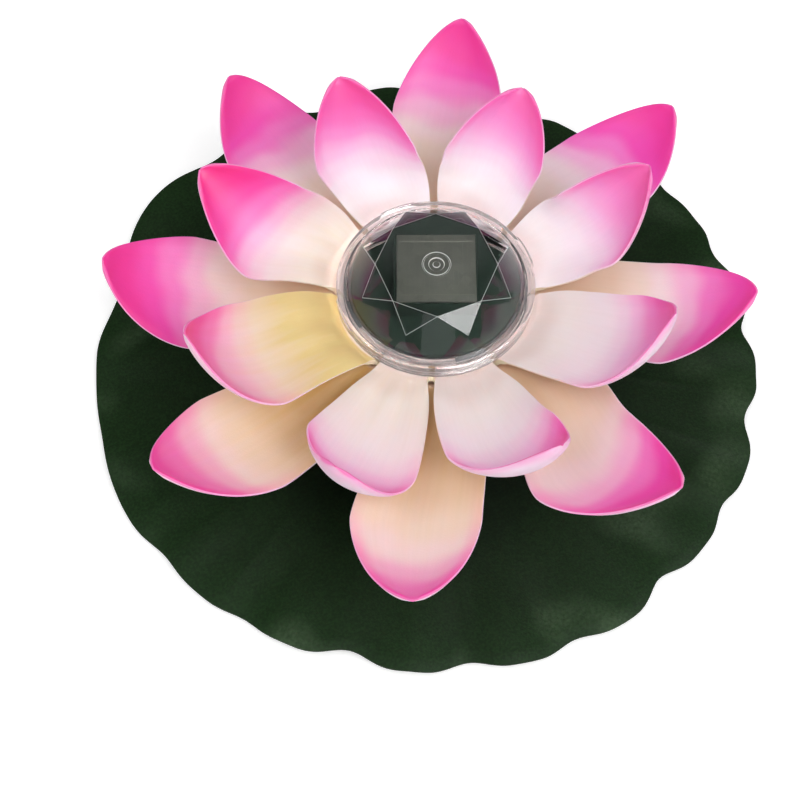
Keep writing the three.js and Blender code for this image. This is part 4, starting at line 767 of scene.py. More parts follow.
def petal_mesh(petal, shape, place, rim, before, after):
    """One blade in millimetres, from the tree, between the shifts of the slits beside it."""
    moved = (before + after) / 2
    spread = math.radians(after - before) / 2 * rim[0]
    tip = np.array([shape["reach"] + petal["out"], PAD_TOP + shape["rise"] + petal["up"]])
    rim = np.array(rim)
    length = np.hypot(*(tip - rim))

    def slope(degrees, share):
        return share * length * np.array([math.cos(math.radians(degrees)),
                                          math.sin(math.radians(degrees))])

    root_handle = rim + slope(petal["leave"], ROOT_PULL)
    tip_handle = tip - slope(petal["arrive"], shape["pull"])
    return run_tree(petal_tree, {
        "Rim": (rim[0], 0.0, rim[1]),
        "Root Handle": (root_handle[0], 0.0, root_handle[1]),
        "Tip Handle": (tip_handle[0], 0.0, tip_handle[1]),
        "Tip": (tip[0], 0.0, tip[1]),
        "Root Half Width": ROOT_HALF_WIDTH + spread,
        "Half Width": shape["half"],
        "Tip Half Width": TIP_HALF_WIDTH,
        "Widest": WIDEST,
        "Swell": SWELL,
        "Fullness": shape["fullness"],
        "Taper": shape["taper"],
        "Root Cup": math.radians(ROOT_CUP),
        "Cup": math.radians(petal["cup"]),
        "Twist": math.radians(petal["twist"]),
        "Sway": float(petal["sway"]),
        "Place": math.radians(place + moved) + FLOWER_TURN,
        "Turn": math.radians(petal["turn"] - moved),
        "Fluting": float(petal["flutes"]),
        "Steps Along": ALONG_STEPS,
        "Steps Across": ACROSS_STEPS,
        "Material": petal_front,
    })


# %% Blades, slits and bowl of a layer
def layer_blades(petals, shape, shifts, first_place, rim):
    """A layer's blades as points, faces and print marks, with the root points of each blade."""
    points, faces, marks, roots = [], [], [], []
    for i, row in enumerate(petals):
        petal = dict(zip(PETAL_KEYS, row))
        mesh = petal_mesh(petal, shape, first_place + i * 360 / PETALS, rim,
                          shifts[i - 1], shifts[i])
        start = len(points)
        points += [tuple(v.co) for v in mesh.vertices]
        faces += [[start + k for k in face.vertices] for face in mesh.polygons]
        along, across = ([d.value for d in mesh.attributes[mark].data] for mark in MARKS[:2])
        marks += [(a, c, petal["flush"], petal["start"] + petal["lean"] * c, petal["warm"])
                  for a, c in zip(along, across)]
        root = sorted((c, start + k) for k, (a, c) in enumerate(zip(along, across)) if a < 1e-6)
        roots.append([k for c, k in root])
        bpy.data.meshes.remove(mesh)
    return points, faces, marks, roots


def turned_point(radius, angle, height):
    """A point at a radius, an angle round the axis and a height."""
    return (radius * math.cos(angle), radius * math.sin(angle), height)


def add_slits(points, marks, roots, slits, line):
    """Joins the blades' roots to a rim. Between two of them its points dip in a half circle."""
    around, dips = [], []
    for i, root in enumerate(roots):
        around += root
        dips += [0.0] * len(root)
        after = roots[(i + 1) % PETALS][0]
        start_angle = math.atan2(points[root[-1]][1], points[root[-1]][0])
        end_angle = math.atan2(points[after][1], points[after][0])
        span = (end_angle - start_angle) % (2 * math.pi)
        for k in range(1, SLIT_STEPS):
            share = k / SLIT_STEPS
            depth = slits[i] * (1 - (2 * share - 1) ** 4) ** 0.5
            (r, z), _ = along_line(line, depth)
            around.append(len(points))
            dips.append(depth)
            points.append(turned_point(r, start_angle + span * share, z))
            marks.append(BOWL_MARKS)
    return around, dips


def add_bowl(points, faces, marks, around, dips, line):
    """Gives each rim point a column that runs down the section to a pole on the axis."""
    angles = [math.atan2(points[k][1], points[k][0]) for k in around]
    _, length = along_line(line, 0)
    count = len(around)
    above = around
    for station in np.linspace(0, 1, BOWL_ROWS + 1)[1:] ** BOWL_CROWDING:
        below = list(range(len(points), len(points) + count))
        for angle, dip in zip(angles, dips):
            (r, z), _ = along_line(line, dip + (length - dip) * station)
            points.append(turned_point(r, angle, z))
        faces += [(above[k], above[(k + 1) % count], below[(k + 1) % count], below[k])
                  for k in range(count)]
        above = below
    points.append((0, 0, line[-1][1]))
    faces += [(above[k], above[(k + 1) % count], len(points) - 1) for k in range(count)]
    marks += [BOWL_MARKS] * (len(points) - len(marks))


# %% A whole layer
def petal_layer(name, petals, shape, slits, shifts, outwards, rim_height, first_place, front):
    """One die-cut layer as a closed foam sheet."""
    rim, line = bowl_line(outwards + SHEET / 2, rim_height)
    points, faces, marks, roots = layer_blades(petals, shape, shifts, first_place, rim)
    around, dips = add_slits(points, marks, roots, slits, line)
    add_bowl(points, faces, marks, around, dips, line)
    piece = build_mesh(name, points, faces)
    mesh = piece.data
    for mark, values in zip(MARKS, np.array(marks).T):
        mesh.attributes.new(mark, "FLOAT", "POINT").data.foreach_set("value", values)
    uv = mesh.uv_layers.new(name="UVMap")
    for loop, spot in zip(mesh.loops, uv.data):
        a, c = marks[loop.vertex_index][:2]
        spot.uv = ((c + 1) / 2, a)
    for material in (front, petal_back, petal_edge):
        mesh.materials.append(material)
    group = piece.vertex_groups.new(name="thickness")
    for k, (along, across) in enumerate(row[:2] for row in marks):
        inset = min((1 - abs(across)) * shape["half"], (1 - along) * shape["reach"])
        share = MARGIN_SHARE + (1 - MARGIN_SHARE) * float(ease(inset / MARGIN))
        group.add([k], 1.0 if along < ROOT_BAND else share, "REPLACE")
    return thickened(piece, SHEET)


def thickened(piece, thickness):
    """Gives an open sheet its thickness on both sides, with its own rim and back materials."""
    solid = piece.modifiers.new("thickness", "SOLIDIFY")
    solid.vertex_group = "thickness"
    solid.thickness = thickness * MM
    solid.offset = 0
    solid.use_even_offset = True
    solid.use_quality_normals = True
    solid.material_offset = 1
    solid.material_offset_rim = 2
    return applied(piece)


def applied(piece):
    """Turns a piece and its modifiers into one plain mesh."""
    evaluated = piece.evaluated_get(bpy.context.evaluated_depsgraph_get())
    mesh = bpy.data.meshes.new_from_object(evaluated)
    piece.modifiers.clear()
    piece.data = mesh
    return piece


def smooth(piece, angle=35):
    """Smooth shading, with edges sharper than the angle kept crisp."""
    mesh = piece.data
    mesh.shade_smooth()
    mesh.set_sharp_from_angle(angle=math.radians(angle))
    return piece


def dress(piece, body, nodes=()):
    """Rides a piece on its body, stands it in for CAD nodes and prints its face count."""
    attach(piece, body)
    if nodes:
        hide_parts(*nodes)
    print(piece.name, "faces:", len(piece.data.polygons))
    return piece


# %% Outer and inner layers
outer = petal_layer("outer_petals", OUTER_PETALS, OUTER_SHAPE, OUTER_SLITS, OUTER_SHIFTS,
                    2 * GAP + SHEET, INNER_RIM_HEIGHT - LAYER_STEP, 0, outer_front)
dress(smooth(outer, 50), "flower", ["outer_petal_layer"])
inner = petal_layer("inner_petals", INNER_PETALS, INNER_SHAPE, INNER_SLITS, INNER_SHIFTS,
                    GAP, INNER_RIM_HEIGHT, 180 / PETALS, petal_front)
dress(smooth(inner, 50), "flower", ["inner_petal_layer"])


# %% [markdown]
# ## Lily pad
#
# The pad is a thicker sheet of foam, moulded with faint veins that run out from the middle and
# with a rim that rises and falls. Its scalloped outline is a list of lobes, as the die cut it. A
# polar grid follows that outline, and the height of each point is the sum of the slow waves, the
# ruffles near the rim and the veins.

# %% Outline and relief of the pad
PAD_RADIUS = 140
PAD_FLAT_RADIUS = 78
PAD_WAVE = 2.2
# angle of each lobe in the flower's frame, how far it stands out, and the notch after it; picked
# one by one and rounded, from a program's list of the real pad's radius at each angle
PAD_LOBES = [
    (12, -2, 4), (30, -3, 3), (46, -2, 3), (62, -4, 3), (80, 0, 4), (99, 5, 4), (123, 3, 3),
    (150, 7, 6), (184, 3, 1), (211, 5, 2), (230, 3, 2), (246, 2, 5), (266, 1, 4), (284, 1, 3),
    (301, 1, 5), (320, -1, 3), (336, -1, 5), (355, -3, 5),
]
PAD_RINGS = 64
PAD_COLUMNS = 540
VEINS = 17
VEIN_HEIGHT = 0.28
VEIN_WIDTH = 1.5
RUFFLE_HEIGHT = 0.9
PAD_MARGIN_SHARE = 0.45  # thickness of the rim, as a share of the pad's


def pad_rim(angle):
    """Radius of the rim at an angle in degrees: eased from lobe to lobe, less the notch."""
    past = [(angle - at) % 360 for at, _, _ in PAD_LOBES]
    i = past.index(min(past))
    at, out, notch = PAD_LOBES[i]
    next_at, next_out, _ = PAD_LOBES[(i + 1) % len(PAD_LOBES)]
    share = past[i] / ((next_at - at) % 360)
    cut = notch * (0.5 - 0.5 * math.cos(2 * math.pi * share)) ** 2
    return PAD_RADIUS + out + (next_out - out) * float(ease(share)) - cut


def pad_points():
    """Rows of points from the middle of the pad to its rim, with their angle and radius."""
    degrees = np.arange(PAD_COLUMNS) * 360 / PAD_COLUMNS
    turn = np.radians(degrees)
    rim = np.array([pad_rim(d) for d in degrees])
    wave = 0.5 * np.sin(3 * turn + 0.6) + 0.3 * np.sin(7 * turn + 2.1) + 0.2 * np.sin(13 * turn)
    ruffle = (np.sin(18 * turn + 1.1 * np.sin(4 * turn) + 0.4)
              + 0.5 * np.sin(31 * turn + 1.7 * np.sin(3 * turn + 1)))
    shares = ease(np.linspace(0, 1, PAD_RINGS + 1) ** 0.8 * 0.5) * 2
    rows = []
    for share in shares[1:]:
        radius = rim * share
        past = np.clip((radius - PAD_FLAT_RADIUS) / (PAD_RADIUS - PAD_FLAT_RADIUS), 0, 1.2)
        height = PAD_WAVE * past ** 2 * wave
        height = height + RUFFLE_HEIGHT * ruffle * ease((past - 0.35) / 0.5)
        # Veins: thin ridges that run out from the middle, and fork once on the way.
        for fork, start in ((0.0, 0.18), (0.5, 0.55)):
            lean = 0.35 * np.sin(5 * turn + fork * 9)
            phase = ((turn * VEINS + lean) / (2 * math.pi) + fork) % 1 - 0.5
            off = np.abs(phase) * 2 * math.pi * radius / VEINS
            fade = ease((share - start) / 0.1) * (1 - 0.6 * ease((share - 0.8) / 0.2))
            height = height + VEIN_HEIGHT * fade * np.exp(-(off / VEIN_WIDTH) ** 2)
        rows.append(np.stack([radius * np.cos(turn + FLOWER_TURN),
                              radius * np.sin(turn + FLOWER_TURN),
                              np.full_like(radius, PAD_TOP - PAD_THICKNESS / 2) + height], -1))
    return rows


# %% Pad foam
pad_foam, tree = new_material("moulded green foam")
spots = add_node(tree, "ShaderNodeTexCoord").outputs["Object"]
# The green darkens towards the middle, to nearly black under the flower: painted shade under the
# petals and the lamp, with its edge made uneven by a cloud.
distance = add_node(tree, "ShaderNodeVectorMath", {
    0: spots, 1: (1, 1, 0)}, operation="MULTIPLY").outputs[0]
distance = add_node(tree, "ShaderNodeVectorMath", {0: distance}, operation="LENGTH").outputs[1]
cloud = add_node(tree, "ShaderNodeTexNoise", {
    "Vector": spots, "Scale": 22.0, "Detail": 3.0, "Roughness": 0.6}).outputs["Fac"]
wander = add_node(tree, "ShaderNodeMath", {0: cloud, 1: 0.05, 2: distance},
                  operation="MULTIPLY_ADD").outputs[0]
share = add_node(tree, "ShaderNodeMapRange", {
    "Value": wander, "From Min": 0.04, "From Max": 0.17}).outputs[0]
green = add_node(tree, "ShaderNodeValToRGB", {"Fac": share}, [
    (0.0, "#060a06"), (0.4, "#0b1a0a"), (0.7, "#12270e"), (1.0, "#173013")]).outputs[0]
speckle = add_node(tree, "ShaderNodeTexNoise", {
    "Vector": spots, "Scale": 900.0, "Detail": 1.0}).outputs["Fac"]
speckle = add_node(tree, "ShaderNodeMapRange", {
    "Value": speckle, "From Min": 0.35, "From Max": 0.7, "To Min": 0.8, "To Max": 1.25}).outputs[0]
green = add_node(tree, "ShaderNodeVectorMath", {0: green, "Scale": speckle},
                 operation="SCALE").outputs[0]
GRAIN_OF_PAD = 0.7
cells = add_node(tree, "ShaderNodeTexVoronoi", {
    "Vector": spots, "Scale": 1 / (GRAIN_OF_PAD * MM)}, feature="SMOOTH_F1").outputs["Distance"]
# Soft pale patches towards the rim, with a fine speckle, are painted sheen: the highlights that
# the rises of the rim catch.
patch = add_node(tree, "ShaderNodeTexNoise", {
    "Vector": spots, "Scale": 26.0, "Detail": 1.0}).outputs["Fac"]
patch = add_node(tree, "ShaderNodeMapRange", {
    "Value": patch, "From Min": 0.54, "From Max": 0.74, "To Max": 0.3},
    interpolation_type="SMOOTHSTEP").outputs[0]
outwards = add_node(tree, "ShaderNodeMapRange", {
    "Value": distance, "From Min": 0.085, "From Max": 0.125},
    interpolation_type="SMOOTHSTEP").outputs[0]
sheen_speckle = add_node(tree, "ShaderNodeTexNoise", {
    "Vector": spots, "Scale": 700.0, "Detail": 2.0}).outputs["Fac"]
sheen_speckle = add_node(tree, "ShaderNodeMapRange", {
    "Value": sheen_speckle, "From Min": 0.3, "From Max": 0.7, "To Min": 0.4}).outputs[0]
painted_sheen = add_node(tree, "ShaderNodeMath", {0: patch, 1: outwards},
                 operation="MULTIPLY").outputs[0]
painted_sheen = add_node(tree, "ShaderNodeMath", {0: painted_sheen, 1: sheen_speckle}, operation="MULTIPLY").outputs[0]
green = add_node(tree, "ShaderNodeMix", {0: painted_sheen, 6: green, 7: linear("#5c7355")},
                 data_type="RGBA").outputs[2]
finish_material(tree, cells, 0.12, Base_Color=green, Roughness=0.62, Specular_IOR_Level=0.09)
print("pad foam:", len(tree.nodes), "nodes")

# %% Sheet of the pad
rows = pad_points()
points = [(0, 0, PAD_TOP - PAD_THICKNESS / 2)]
for row in rows:
    points += [tuple(p) for p in row]
faces = [(0, 1 + j, 1 + (j + 1) % PAD_COLUMNS) for j in range(PAD_COLUMNS)]
for i in range(len(rows) - 1):
    for j in range(PAD_COLUMNS):
        a = 1 + i * PAD_COLUMNS + j
        b = 1 + i * PAD_COLUMNS + (j + 1) % PAD_COLUMNS
        faces.append((a, a + PAD_COLUMNS, b + PAD_COLUMNS, b))
pad = build_mesh("lily_pad_foam", points, faces)
pad.data.materials.append(pad_foam)
group = pad.vertex_groups.new(name="full")
last_ring = len(points) - PAD_COLUMNS
group.add(range(last_ring), 1.0, "REPLACE")
group.add(range(last_ring, len(points)), PAD_MARGIN_SHARE, "REPLACE")
solid = pad.modifiers.new("thickness", "SOLIDIFY")
solid.thickness = PAD_THICKNESS * MM
solid.offset = 0
solid.vertex_group = "full"
dress(smooth(applied(pad), 60), "flower", ["lily_pad"])


# %% [markdown]
# ## Finer copies of the moulded parts
#
# A moulded or turned part in the frame has the right size, but its edges are knife sharp and its
# round walls are flat strips. A moulded edge always has a small radius that catches the light. So
# each of these parts gets a finer copy: its loose triangles are merged, the flat ones are joined
# up, and a Bevel modifier eases every edge.

# %% Finer copy of a node
WELD = 0.002  # points nearer than this are one
FLAT = 0.5  # degrees within which neighbouring faces are one
EASE_STEPS = 2
EASE_ANGLE = 30  # degrees; flatter edges stay as they are


def finer(node, material, body, ease_width):
    """A merged copy of a CAD node, with its edges eased by a width, that stands in for it."""
    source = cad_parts[node]
    mesh = source.data.copy()
    mesh.materials.clear()
    mesh.materials.append(material)
    work = bmesh.new()
    work.from_mesh(mesh)
    bmesh.ops.remove_doubles(work, verts=work.verts, dist=WELD * MM)
    bmesh.ops.dissolve_limit(work, angle_limit=math.radians(FLAT), verts=work.verts,
                             edges=work.edges)
    for face in work.faces:
        face.material_index = 0
    work.to_mesh(mesh)
    work.free()
    piece = bpy.data.objects.new(node + "_moulded", mesh)
    scene.collection.objects.link(piece)
    if ease_width:
        bevel = piece.modifiers.new("eased edges", "BEVEL")
        bevel.width = ease_width * MM
        bevel.segments = EASE_STEPS
        bevel.limit_method = "ANGLE"
        bevel.angle_limit = math.radians(EASE_ANGLE)
        applied(piece)
    dress(smooth(piece), body, [node])


# %% [markdown]
# ## Clear plastic
#
# The lens and the cup are injection-moulded polystyrene: as clear as glass, with an index of
# about 1.59, and with no colour of its own. Only a very fine unevenness of the surface keeps the
# reflections from being perfect. The index is set below the real one: less is reflected,
# and the view through the facets is bent less, so the dark inside of the lamp shows better.

# %% Clear polystyrene
POLYSTYRENE_IOR = 1.59


def clear_plastic(name, tint, roughness, clearness, ior, coat=0.0):
    """Clear plastic that lets lamps through, as the real one hardly casts a shadow. Where its
    clearness is below 1 it is a little milky."""
    material, tree = new_material(name)
    spots = add_node(tree, "ShaderNodeTexCoord").outputs["Object"]
    flow = add_node(tree, "ShaderNodeTexNoise", {
        "Vector": spots, "Scale": 120.0, "Detail": 1.0}).outputs["Fac"]
    haze = add_node(tree, "ShaderNodeMapRange", {
        "Value": flow, "To Min": roughness * 0.6, "To Max": roughness * 1.4}).outputs[0]
    glass = add_node(tree, "ShaderNodeBsdfPrincipled", {
        "Base Color": linear(tint), "Roughness": haze, "IOR": ior,
        "Transmission Weight": clearness, "Coat Weight": coat, "Coat IOR": POLYSTYRENE_IOR,
        "Coat Roughness": 0.03}).outputs[0]
    lets_through = add_node(tree, "ShaderNodeBsdfTransparent", {"Color": linear(tint)}).outputs[0]
    path = add_node(tree, "ShaderNodeLightPath")
    mixed = add_node(tree, "ShaderNodeMixShader", {
        0: path.outputs["Is Shadow Ray"], 1: glass, 2: lets_through})
    add_node(tree, "ShaderNodeOutputMaterial", {"Surface": mixed.outputs[0]})
    return material


lens_plastic = clear_plastic("clear polystyrene", "#fdfefd", 0.01, 1.0, 1.42)
# The ring and the cup are thin, and so tangled with edges that true refraction looks black.
# A lower index keeps them as clear as they look on the real light.
rim_plastic = clear_plastic("clear polystyrene rim", "#fffcfc", 0.03, 0.98, 1.25, coat=1.0)
cup_plastic = clear_plastic("clear polystyrene cup", "#fffcfc", 0.06, 0.94, 1.25, coat=1.0)

# The edges between the facets are drawn in a pale, half-clear finish: a painted highlight for
# the fine pale lines that they catch.
facet_edge, tree = new_material("polystyrene edge with painted highlight")
spots = add_node(tree, "ShaderNodeTexCoord").outputs["Object"]
edge_glint = add_node(tree, "ShaderNodeTexNoise", {
    "Vector": spots, "Scale": 600.0, "Detail": 2.0}).outputs["Fac"]
gloss = add_node(tree, "ShaderNodeMapRange", {
    "Value": edge_glint, "To Min": 0.2, "To Max": 0.5}).outputs[0]
finish_material(tree, edge_glint, 0.01, Base_Color=linear("#e6eae8"), Roughness=gloss,
                IOR=POLYSTYRENE_IOR, Transmission_Weight=0.45)
print("clear finishes:", lens_plastic.name, rim_plastic.name, cup_plastic.name)


# %% [markdown]
# ## Faceted lens
#
# The top of the lamp is cut like the crown of a brilliant: an eight-sided table, eight star
# facets round it, kites between them and girdle facets down to the rim. Each table edge runs on
# straight into two star edges, which gives the eye its eight-pointed star. The crown is hollow,
# and a flat ring with four small lugs surrounds it. Its mesh is written out from that rule. The
# facets stay flat, their edges get a hair-wide bevel, and all that is round has many steps.

# %% Facets of the crown
TABLE_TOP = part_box("lens")[1].z / MM
RING_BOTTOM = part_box("lens")[0].z / MM
LUG_REACH = 0.7
RING_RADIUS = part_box("lens")[1].x / MM - LUG_REACH
RING_TOP = RING_BOTTOM + 4.8
SIDES = 8
RIM_STEPS = 4  # facets of the girdle for each side of the table
GATE_COUNT = 96
CROWN_RADIUS = RING_RADIUS - 4.25  # the ring starts a hair outside it
CROWN_SKIN = 0.6
TABLE_RADIUS = 23.6  # this and the crown's came out of the camera's fit
EDGE_LINE = 0.08
# radius and depth of the steps of the round mark that the mould's gate leaves on the table
GATE_STEPS = [(5.65, 0), (5.45, 0.3), (5.05, 0.3), (4.85, 0), (3.15, 0), (2.85, 0.45),
              (1.5, 0.45), (1.25, 0.1)]


def circle(radius, height, count, start):
    """Points round the axis, the first at the angle start."""
    angles = start + np.arange(count) * 2 * math.pi / count
    return [(radius * math.cos(a), radius * math.sin(a), height) for a in angles]


def crown(work, table_radius, table_height, rim_radius, rim_height):
    """Adds the facets of a crown; returns its table corners, star tips and rim points."""
    half = math.pi / SIDES
    star_radius = table_radius * (math.cos(half) + math.sin(half))
    share = (rim_radius - star_radius * math.cos(half)) / (rim_radius - table_radius)
    star_height = rim_height + (table_height - rim_height) * share
    table = [work.verts.new(p) for p in circle(table_radius, table_height, SIDES, half)]
    star = [work.verts.new(p) for p in circle(star_radius, star_height, SIDES, 2 * half)]
    rim = [work.verts.new(p) for p in circle(rim_radius, rim_height, SIDES * RIM_STEPS, half)]
    for i in range(SIDES):
        work.faces.new((table[i], star[i], table[(i + 1) % SIDES]))
        work.faces.new((table[i], star[i - 1], rim[i * RIM_STEPS], star[i]))
        for k in range(i * RIM_STEPS, (i + 1) * RIM_STEPS):
            work.faces.new((star[i], rim[k], rim[(k + 1) % len(rim)]))
    return table, star, rim


def join_rings(work, upper, lower, soft=True):
    """Faces between two rings with as many points."""
    count = len(upper)
    faces = []
    for k in range(count):
        j = (k + 1) % count
        faces.append(work.faces.new((upper[k], lower[k], lower[j], upper[j])))
        faces[-1].smooth = soft
    return faces


print("table", TABLE_RADIUS, "and crown", round(CROWN_RADIUS, 2), "mm in radius")

# %% Crown of the lens
work = bmesh.new()
table, star, rim = crown(work, TABLE_RADIUS, TABLE_TOP, CROWN_RADIUS, RING_TOP)
corners = set(table + star)
pale = [edge for edge in work.edges if corners.issuperset(edge.verts)]
# The table is pierced by the round mark, which is turned like a tiny lathe job.
rings = [[work.verts.new(p) for p in circle(r, TABLE_TOP - depth, GATE_COUNT, math.pi / SIDES)]
         for r, depth in GATE_STEPS]
share = GATE_COUNT // SIDES
for i in range(SIDES):
    arc = [rings[0][k % GATE_COUNT] for k in range(i * share, (i + 1) * share + 1)]
    work.faces.new([table[i], table[(i + 1) % SIDES]] + arc[::-1])
for (upper, lower), (step, following) in zip(zip(rings, rings[1:]),
                                             zip(GATE_STEPS, GATE_STEPS[1:])):
    for face in join_rings(work, upper, lower):
        face.material_index = int(step[1] != following[1])  # the sloping walls get the painted highlight too
work.faces.new(rings[-1])
# Inside, the same facets a little smaller, so the skin is even and its edges hardly double.
hollow_rim = CROWN_RADIUS - CROWN_SKIN
inner_table, inner_star, inner_rim = crown(
    work, TABLE_RADIUS - CROWN_SKIN / 2, TABLE_TOP - CROWN_SKIN, hollow_rim,
    RING_TOP - CROWN_SKIN)
work.faces.new(inner_table)
foot = [[work.verts.new(p) for p in circle(r, RING_BOTTOM, len(rim), math.pi / SIDES)]
        for r in (CROWN_RADIUS, hollow_rim)]
for upper, lower in ((rim, foot[0]), (foot[0], foot[1]), (foot[1], inner_rim)):
    join_rings(work, upper, lower, soft=False)
bmesh.ops.recalc_face_normals(work, faces=work.faces)
bmesh.ops.bevel(work, geom=pale, offset=EDGE_LINE, segments=1, affect="EDGES", material=1)
crown_faces = set(work.faces)
print("crown:", len(crown_faces), "faces")

# %% Ring of the lens
RING_STEPS = 144
LUGS = 4
LUG_WIDTH = math.radians(24)
ring_inner = CROWN_RADIUS + 0.05
# radius, height and whether the lugs carry this corner out
RING_OUTLINE = [
    (ring_inner, RING_BOTTOM, 0), (ring_inner + 1.3, RING_BOTTOM, 0),
    (ring_inner + 1.3, RING_TOP - 1.4, 0), (ring_inner + 2.6, RING_TOP - 1.4, 0),
    (ring_inner + 2.6, RING_BOTTOM, 0), (RING_RADIUS, RING_BOTTOM, 0),
    (RING_RADIUS, RING_BOTTOM + 0.38, 0), (RING_RADIUS, RING_BOTTOM + 0.42, 1),
    (RING_RADIUS, RING_TOP - 0.92, 1), (RING_RADIUS, RING_TOP - 0.88, 0),
]
# The ring's two upper edges are rounded, which is where it catches the lamps.
for middle, rounding, start in ((RING_RADIUS - 0.8, 0.8, 0), (ring_inner + 0.4, 0.4, 90)):
    for step in range(7):
        at = math.radians(start + 15 * step)
        RING_OUTLINE.append((middle + rounding * math.cos(at),
                             RING_TOP - rounding + rounding * math.sin(at), 0))
angles = np.arange(RING_STEPS) * 2 * math.pi / RING_STEPS
from_lug = np.abs((angles + math.pi / LUGS) % (2 * math.pi / LUGS) - math.pi / LUGS)
on_lug = from_lug <= LUG_WIDTH / 2 + 1e-6
rows = []
for radius, height, carried in RING_OUTLINE:
    reach = radius + LUG_REACH * carried * on_lug
    rows.append([work.verts.new((r * math.cos(a), r * math.sin(a), height))
                 for r, a in zip(reach, angles)])
for upper, lower in zip(rows, rows[1:] + rows[:1]):
    join_rings(work, upper, lower)
ring_faces = [face for face in work.faces if face not in crown_faces]
for face in ring_faces:
    face.material_index = 2
bmesh.ops.recalc_face_normals(work, faces=ring_faces)
bmesh.ops.scale(work, vec=(MM, MM, MM), verts=work.verts)

mesh = bpy.data.meshes.new("lens_crown")
work.to_mesh(mesh)
work.free()
for material in (lens_plastic, facet_edge, rim_plastic):
    mesh.materials.append(material)
mesh.set_sharp_from_angle(angle=math.radians(25))
lens_piece = bpy.data.objects.new("lens_crown", mesh)
scene.collection.objects.link(lens_piece)
dress(lens_piece, "lamp", ["lens"])

# %% Cup
finer("lamp_cup", cup_plastic, "flower", 0.25)


# %% [markdown]
# ## Black plastic, board and metal
#
# The lamp's base, lid and tray are black ABS with a fine spark-eroded texture from the mould. The
# small parts inside it each have their own finish, from the green glass-fibre board to the
# printed wrap of the cell.

# %% Small finishes
def moulded_plastic(name, colour, roughness, grain, relief, shine=0.5):
    """Moulded plastic: an even colour, a fine mould texture and a faint change of gloss."""
    material, tree = new_material(name)
    spots = add_node(tree, "ShaderNodeTexCoord").outputs["Object"]
    texture = add_node(tree, "ShaderNodeTexNoise", {
        "Vector": spots, "Scale": 1 / (grain * MM), "Detail": 2.0}).outputs["Fac"]
    patches = add_node(tree, "ShaderNodeTexNoise", {
        "Vector": spots, "Scale": 60.0, "Detail": 2.0}).outputs["Fac"]
    tone = add_node(tree, "ShaderNodeMapRange", {
        "Value": patches, "To Min": 0.85, "To Max": 1.15}).outputs[0]
    shade = add_node(tree, "ShaderNodeVectorMath", {0: linear(colour)[:3], "Scale": tone},
                     operation="SCALE").outputs[0]
    gloss = add_node(tree, "ShaderNodeMapRange", {
        "Value": patches, "To Min": roughness - 0.06, "To Max": roughness + 0.06}).outputs[0]
    finish_material(tree, texture, relief, Base_Color=shade, Roughness=gloss,
                    Specular_IOR_Level=shine)
    return material


def drawn_metal(name, colour, roughness):
    """Bare metal with fine drawing or turning marks."""
    material, tree = new_material(name)
    spots = add_node(tree, "ShaderNodeTexCoord").outputs["Object"]
    marks = add_node(tree, "ShaderNodeTexNoise", {
        "Vector": spots, "Scale": 2500.0, "Detail": 2.0}).outputs["Fac"]
    gloss = add_node(tree, "ShaderNodeMapRange", {
        "Value": marks, "To Min": roughness - 0.08, "To Max": roughness + 0.12}).outputs[0]
    finish_material(tree, marks, 0.01, Base_Color=linear(colour), Roughness=gloss, Metallic=1.0)
    return material


black_abs = moulded_plastic("black ABS", "#22282a", 0.5, 0.35, 0.03)
tray_abs = moulded_plastic("polished black ABS", "#1e2823", 0.45, 2.0, 0.0008, shine=0.0)
plate_abs = moulded_plastic("black ABS plate", "#1d2324", 0.55, 0.5, 0.04)
black_resin = moulded_plastic("black epoxy resin", "#1b1c1e", 0.4, 0.3, 0.02)
red_pvc = moulded_plastic("red PVC sleeve", "#b3201c", 0.45, 0.6, 0.02)
black_pvc = moulded_plastic("black PVC sleeve", "#17181a", 0.45, 0.6, 0.02)
board_green = moulded_plastic("glass fibre board", "#1f6b3a", 0.45, 0.8, 0.02)
wrap_green = moulded_plastic("shrink wrap", "#3f8f4f", 0.3, 1.5, 0.02)
steel = drawn_metal("zinc plated steel", "#b9bcc0", 0.3)
spring_wire = drawn_metal("spring steel", "#c9c7c0", 0.28)
clear_epoxy = clear_plastic("clear epoxy", "#f4f7f8", 0.03, 1.0, 1.54)
sleeve_clear = clear_plastic("clear sleeve", "#e8efee", 0.12, 0.9, 1.4)
print("materials so far:", len(bpy.data.materials))

# %% Lamp parts
finer("lamp_base", black_abs, "lamp", 0.2)
finer("battery_lid", black_abs, "lid", 0.12)
finer("cell_tray", tray_abs, "lamp", 0.2)
finer("base_plate", plate_abs, "flower", 0.25)
finer("circuit_board", board_green, "lamp", 0.0)
finer("battery", wrap_green, "lamp", 0.15)
finer("battery_contact", spring_wire, "lamp", 0.08)
finer("battery_spring", spring_wire, "lamp", 0.0)
finer("led", clear_epoxy, "lamp", 0.1)
finer("switch_body", steel, "lamp", 0.12)
finer("switch_knob", black_abs, "knob", 0.15)
finer("charge_chip", black_resin, "lamp", 0.15)
finer("inductor", black_resin, "lamp", 0.1)
for number in (1, 2):
    finer(f"board_screw_{number}", steel, "lamp", 0.08)
    finer(f"led_lead_{number}", spring_wire, "lamp", 0.05)
    finer(f"led_sleeve_{number}", sleeve_clear, "lamp", 0.0)
for number in (1, 2, 3):
    finer(f"base_screw_{number}", steel, "flower", 0.1)
for colour, pvc in (("red", red_pvc), ("black", black_pvc)):
    finer(f"solar_wire_{colour}", pvc, "lamp", 0.0)
    finer(f"battery_wire_{colour}", pvc, "lamp", 0.0)

# %% [markdown]
# ## Solar cell
#
# The cell is a square of polycrystalline silicon under a dull coat of resin. Its crystals lie at
# random and differ a little in shade. A Voronoi texture gives such flat-coloured grains, so the
# plain plate of the frame needs no more than that and its eased edges.

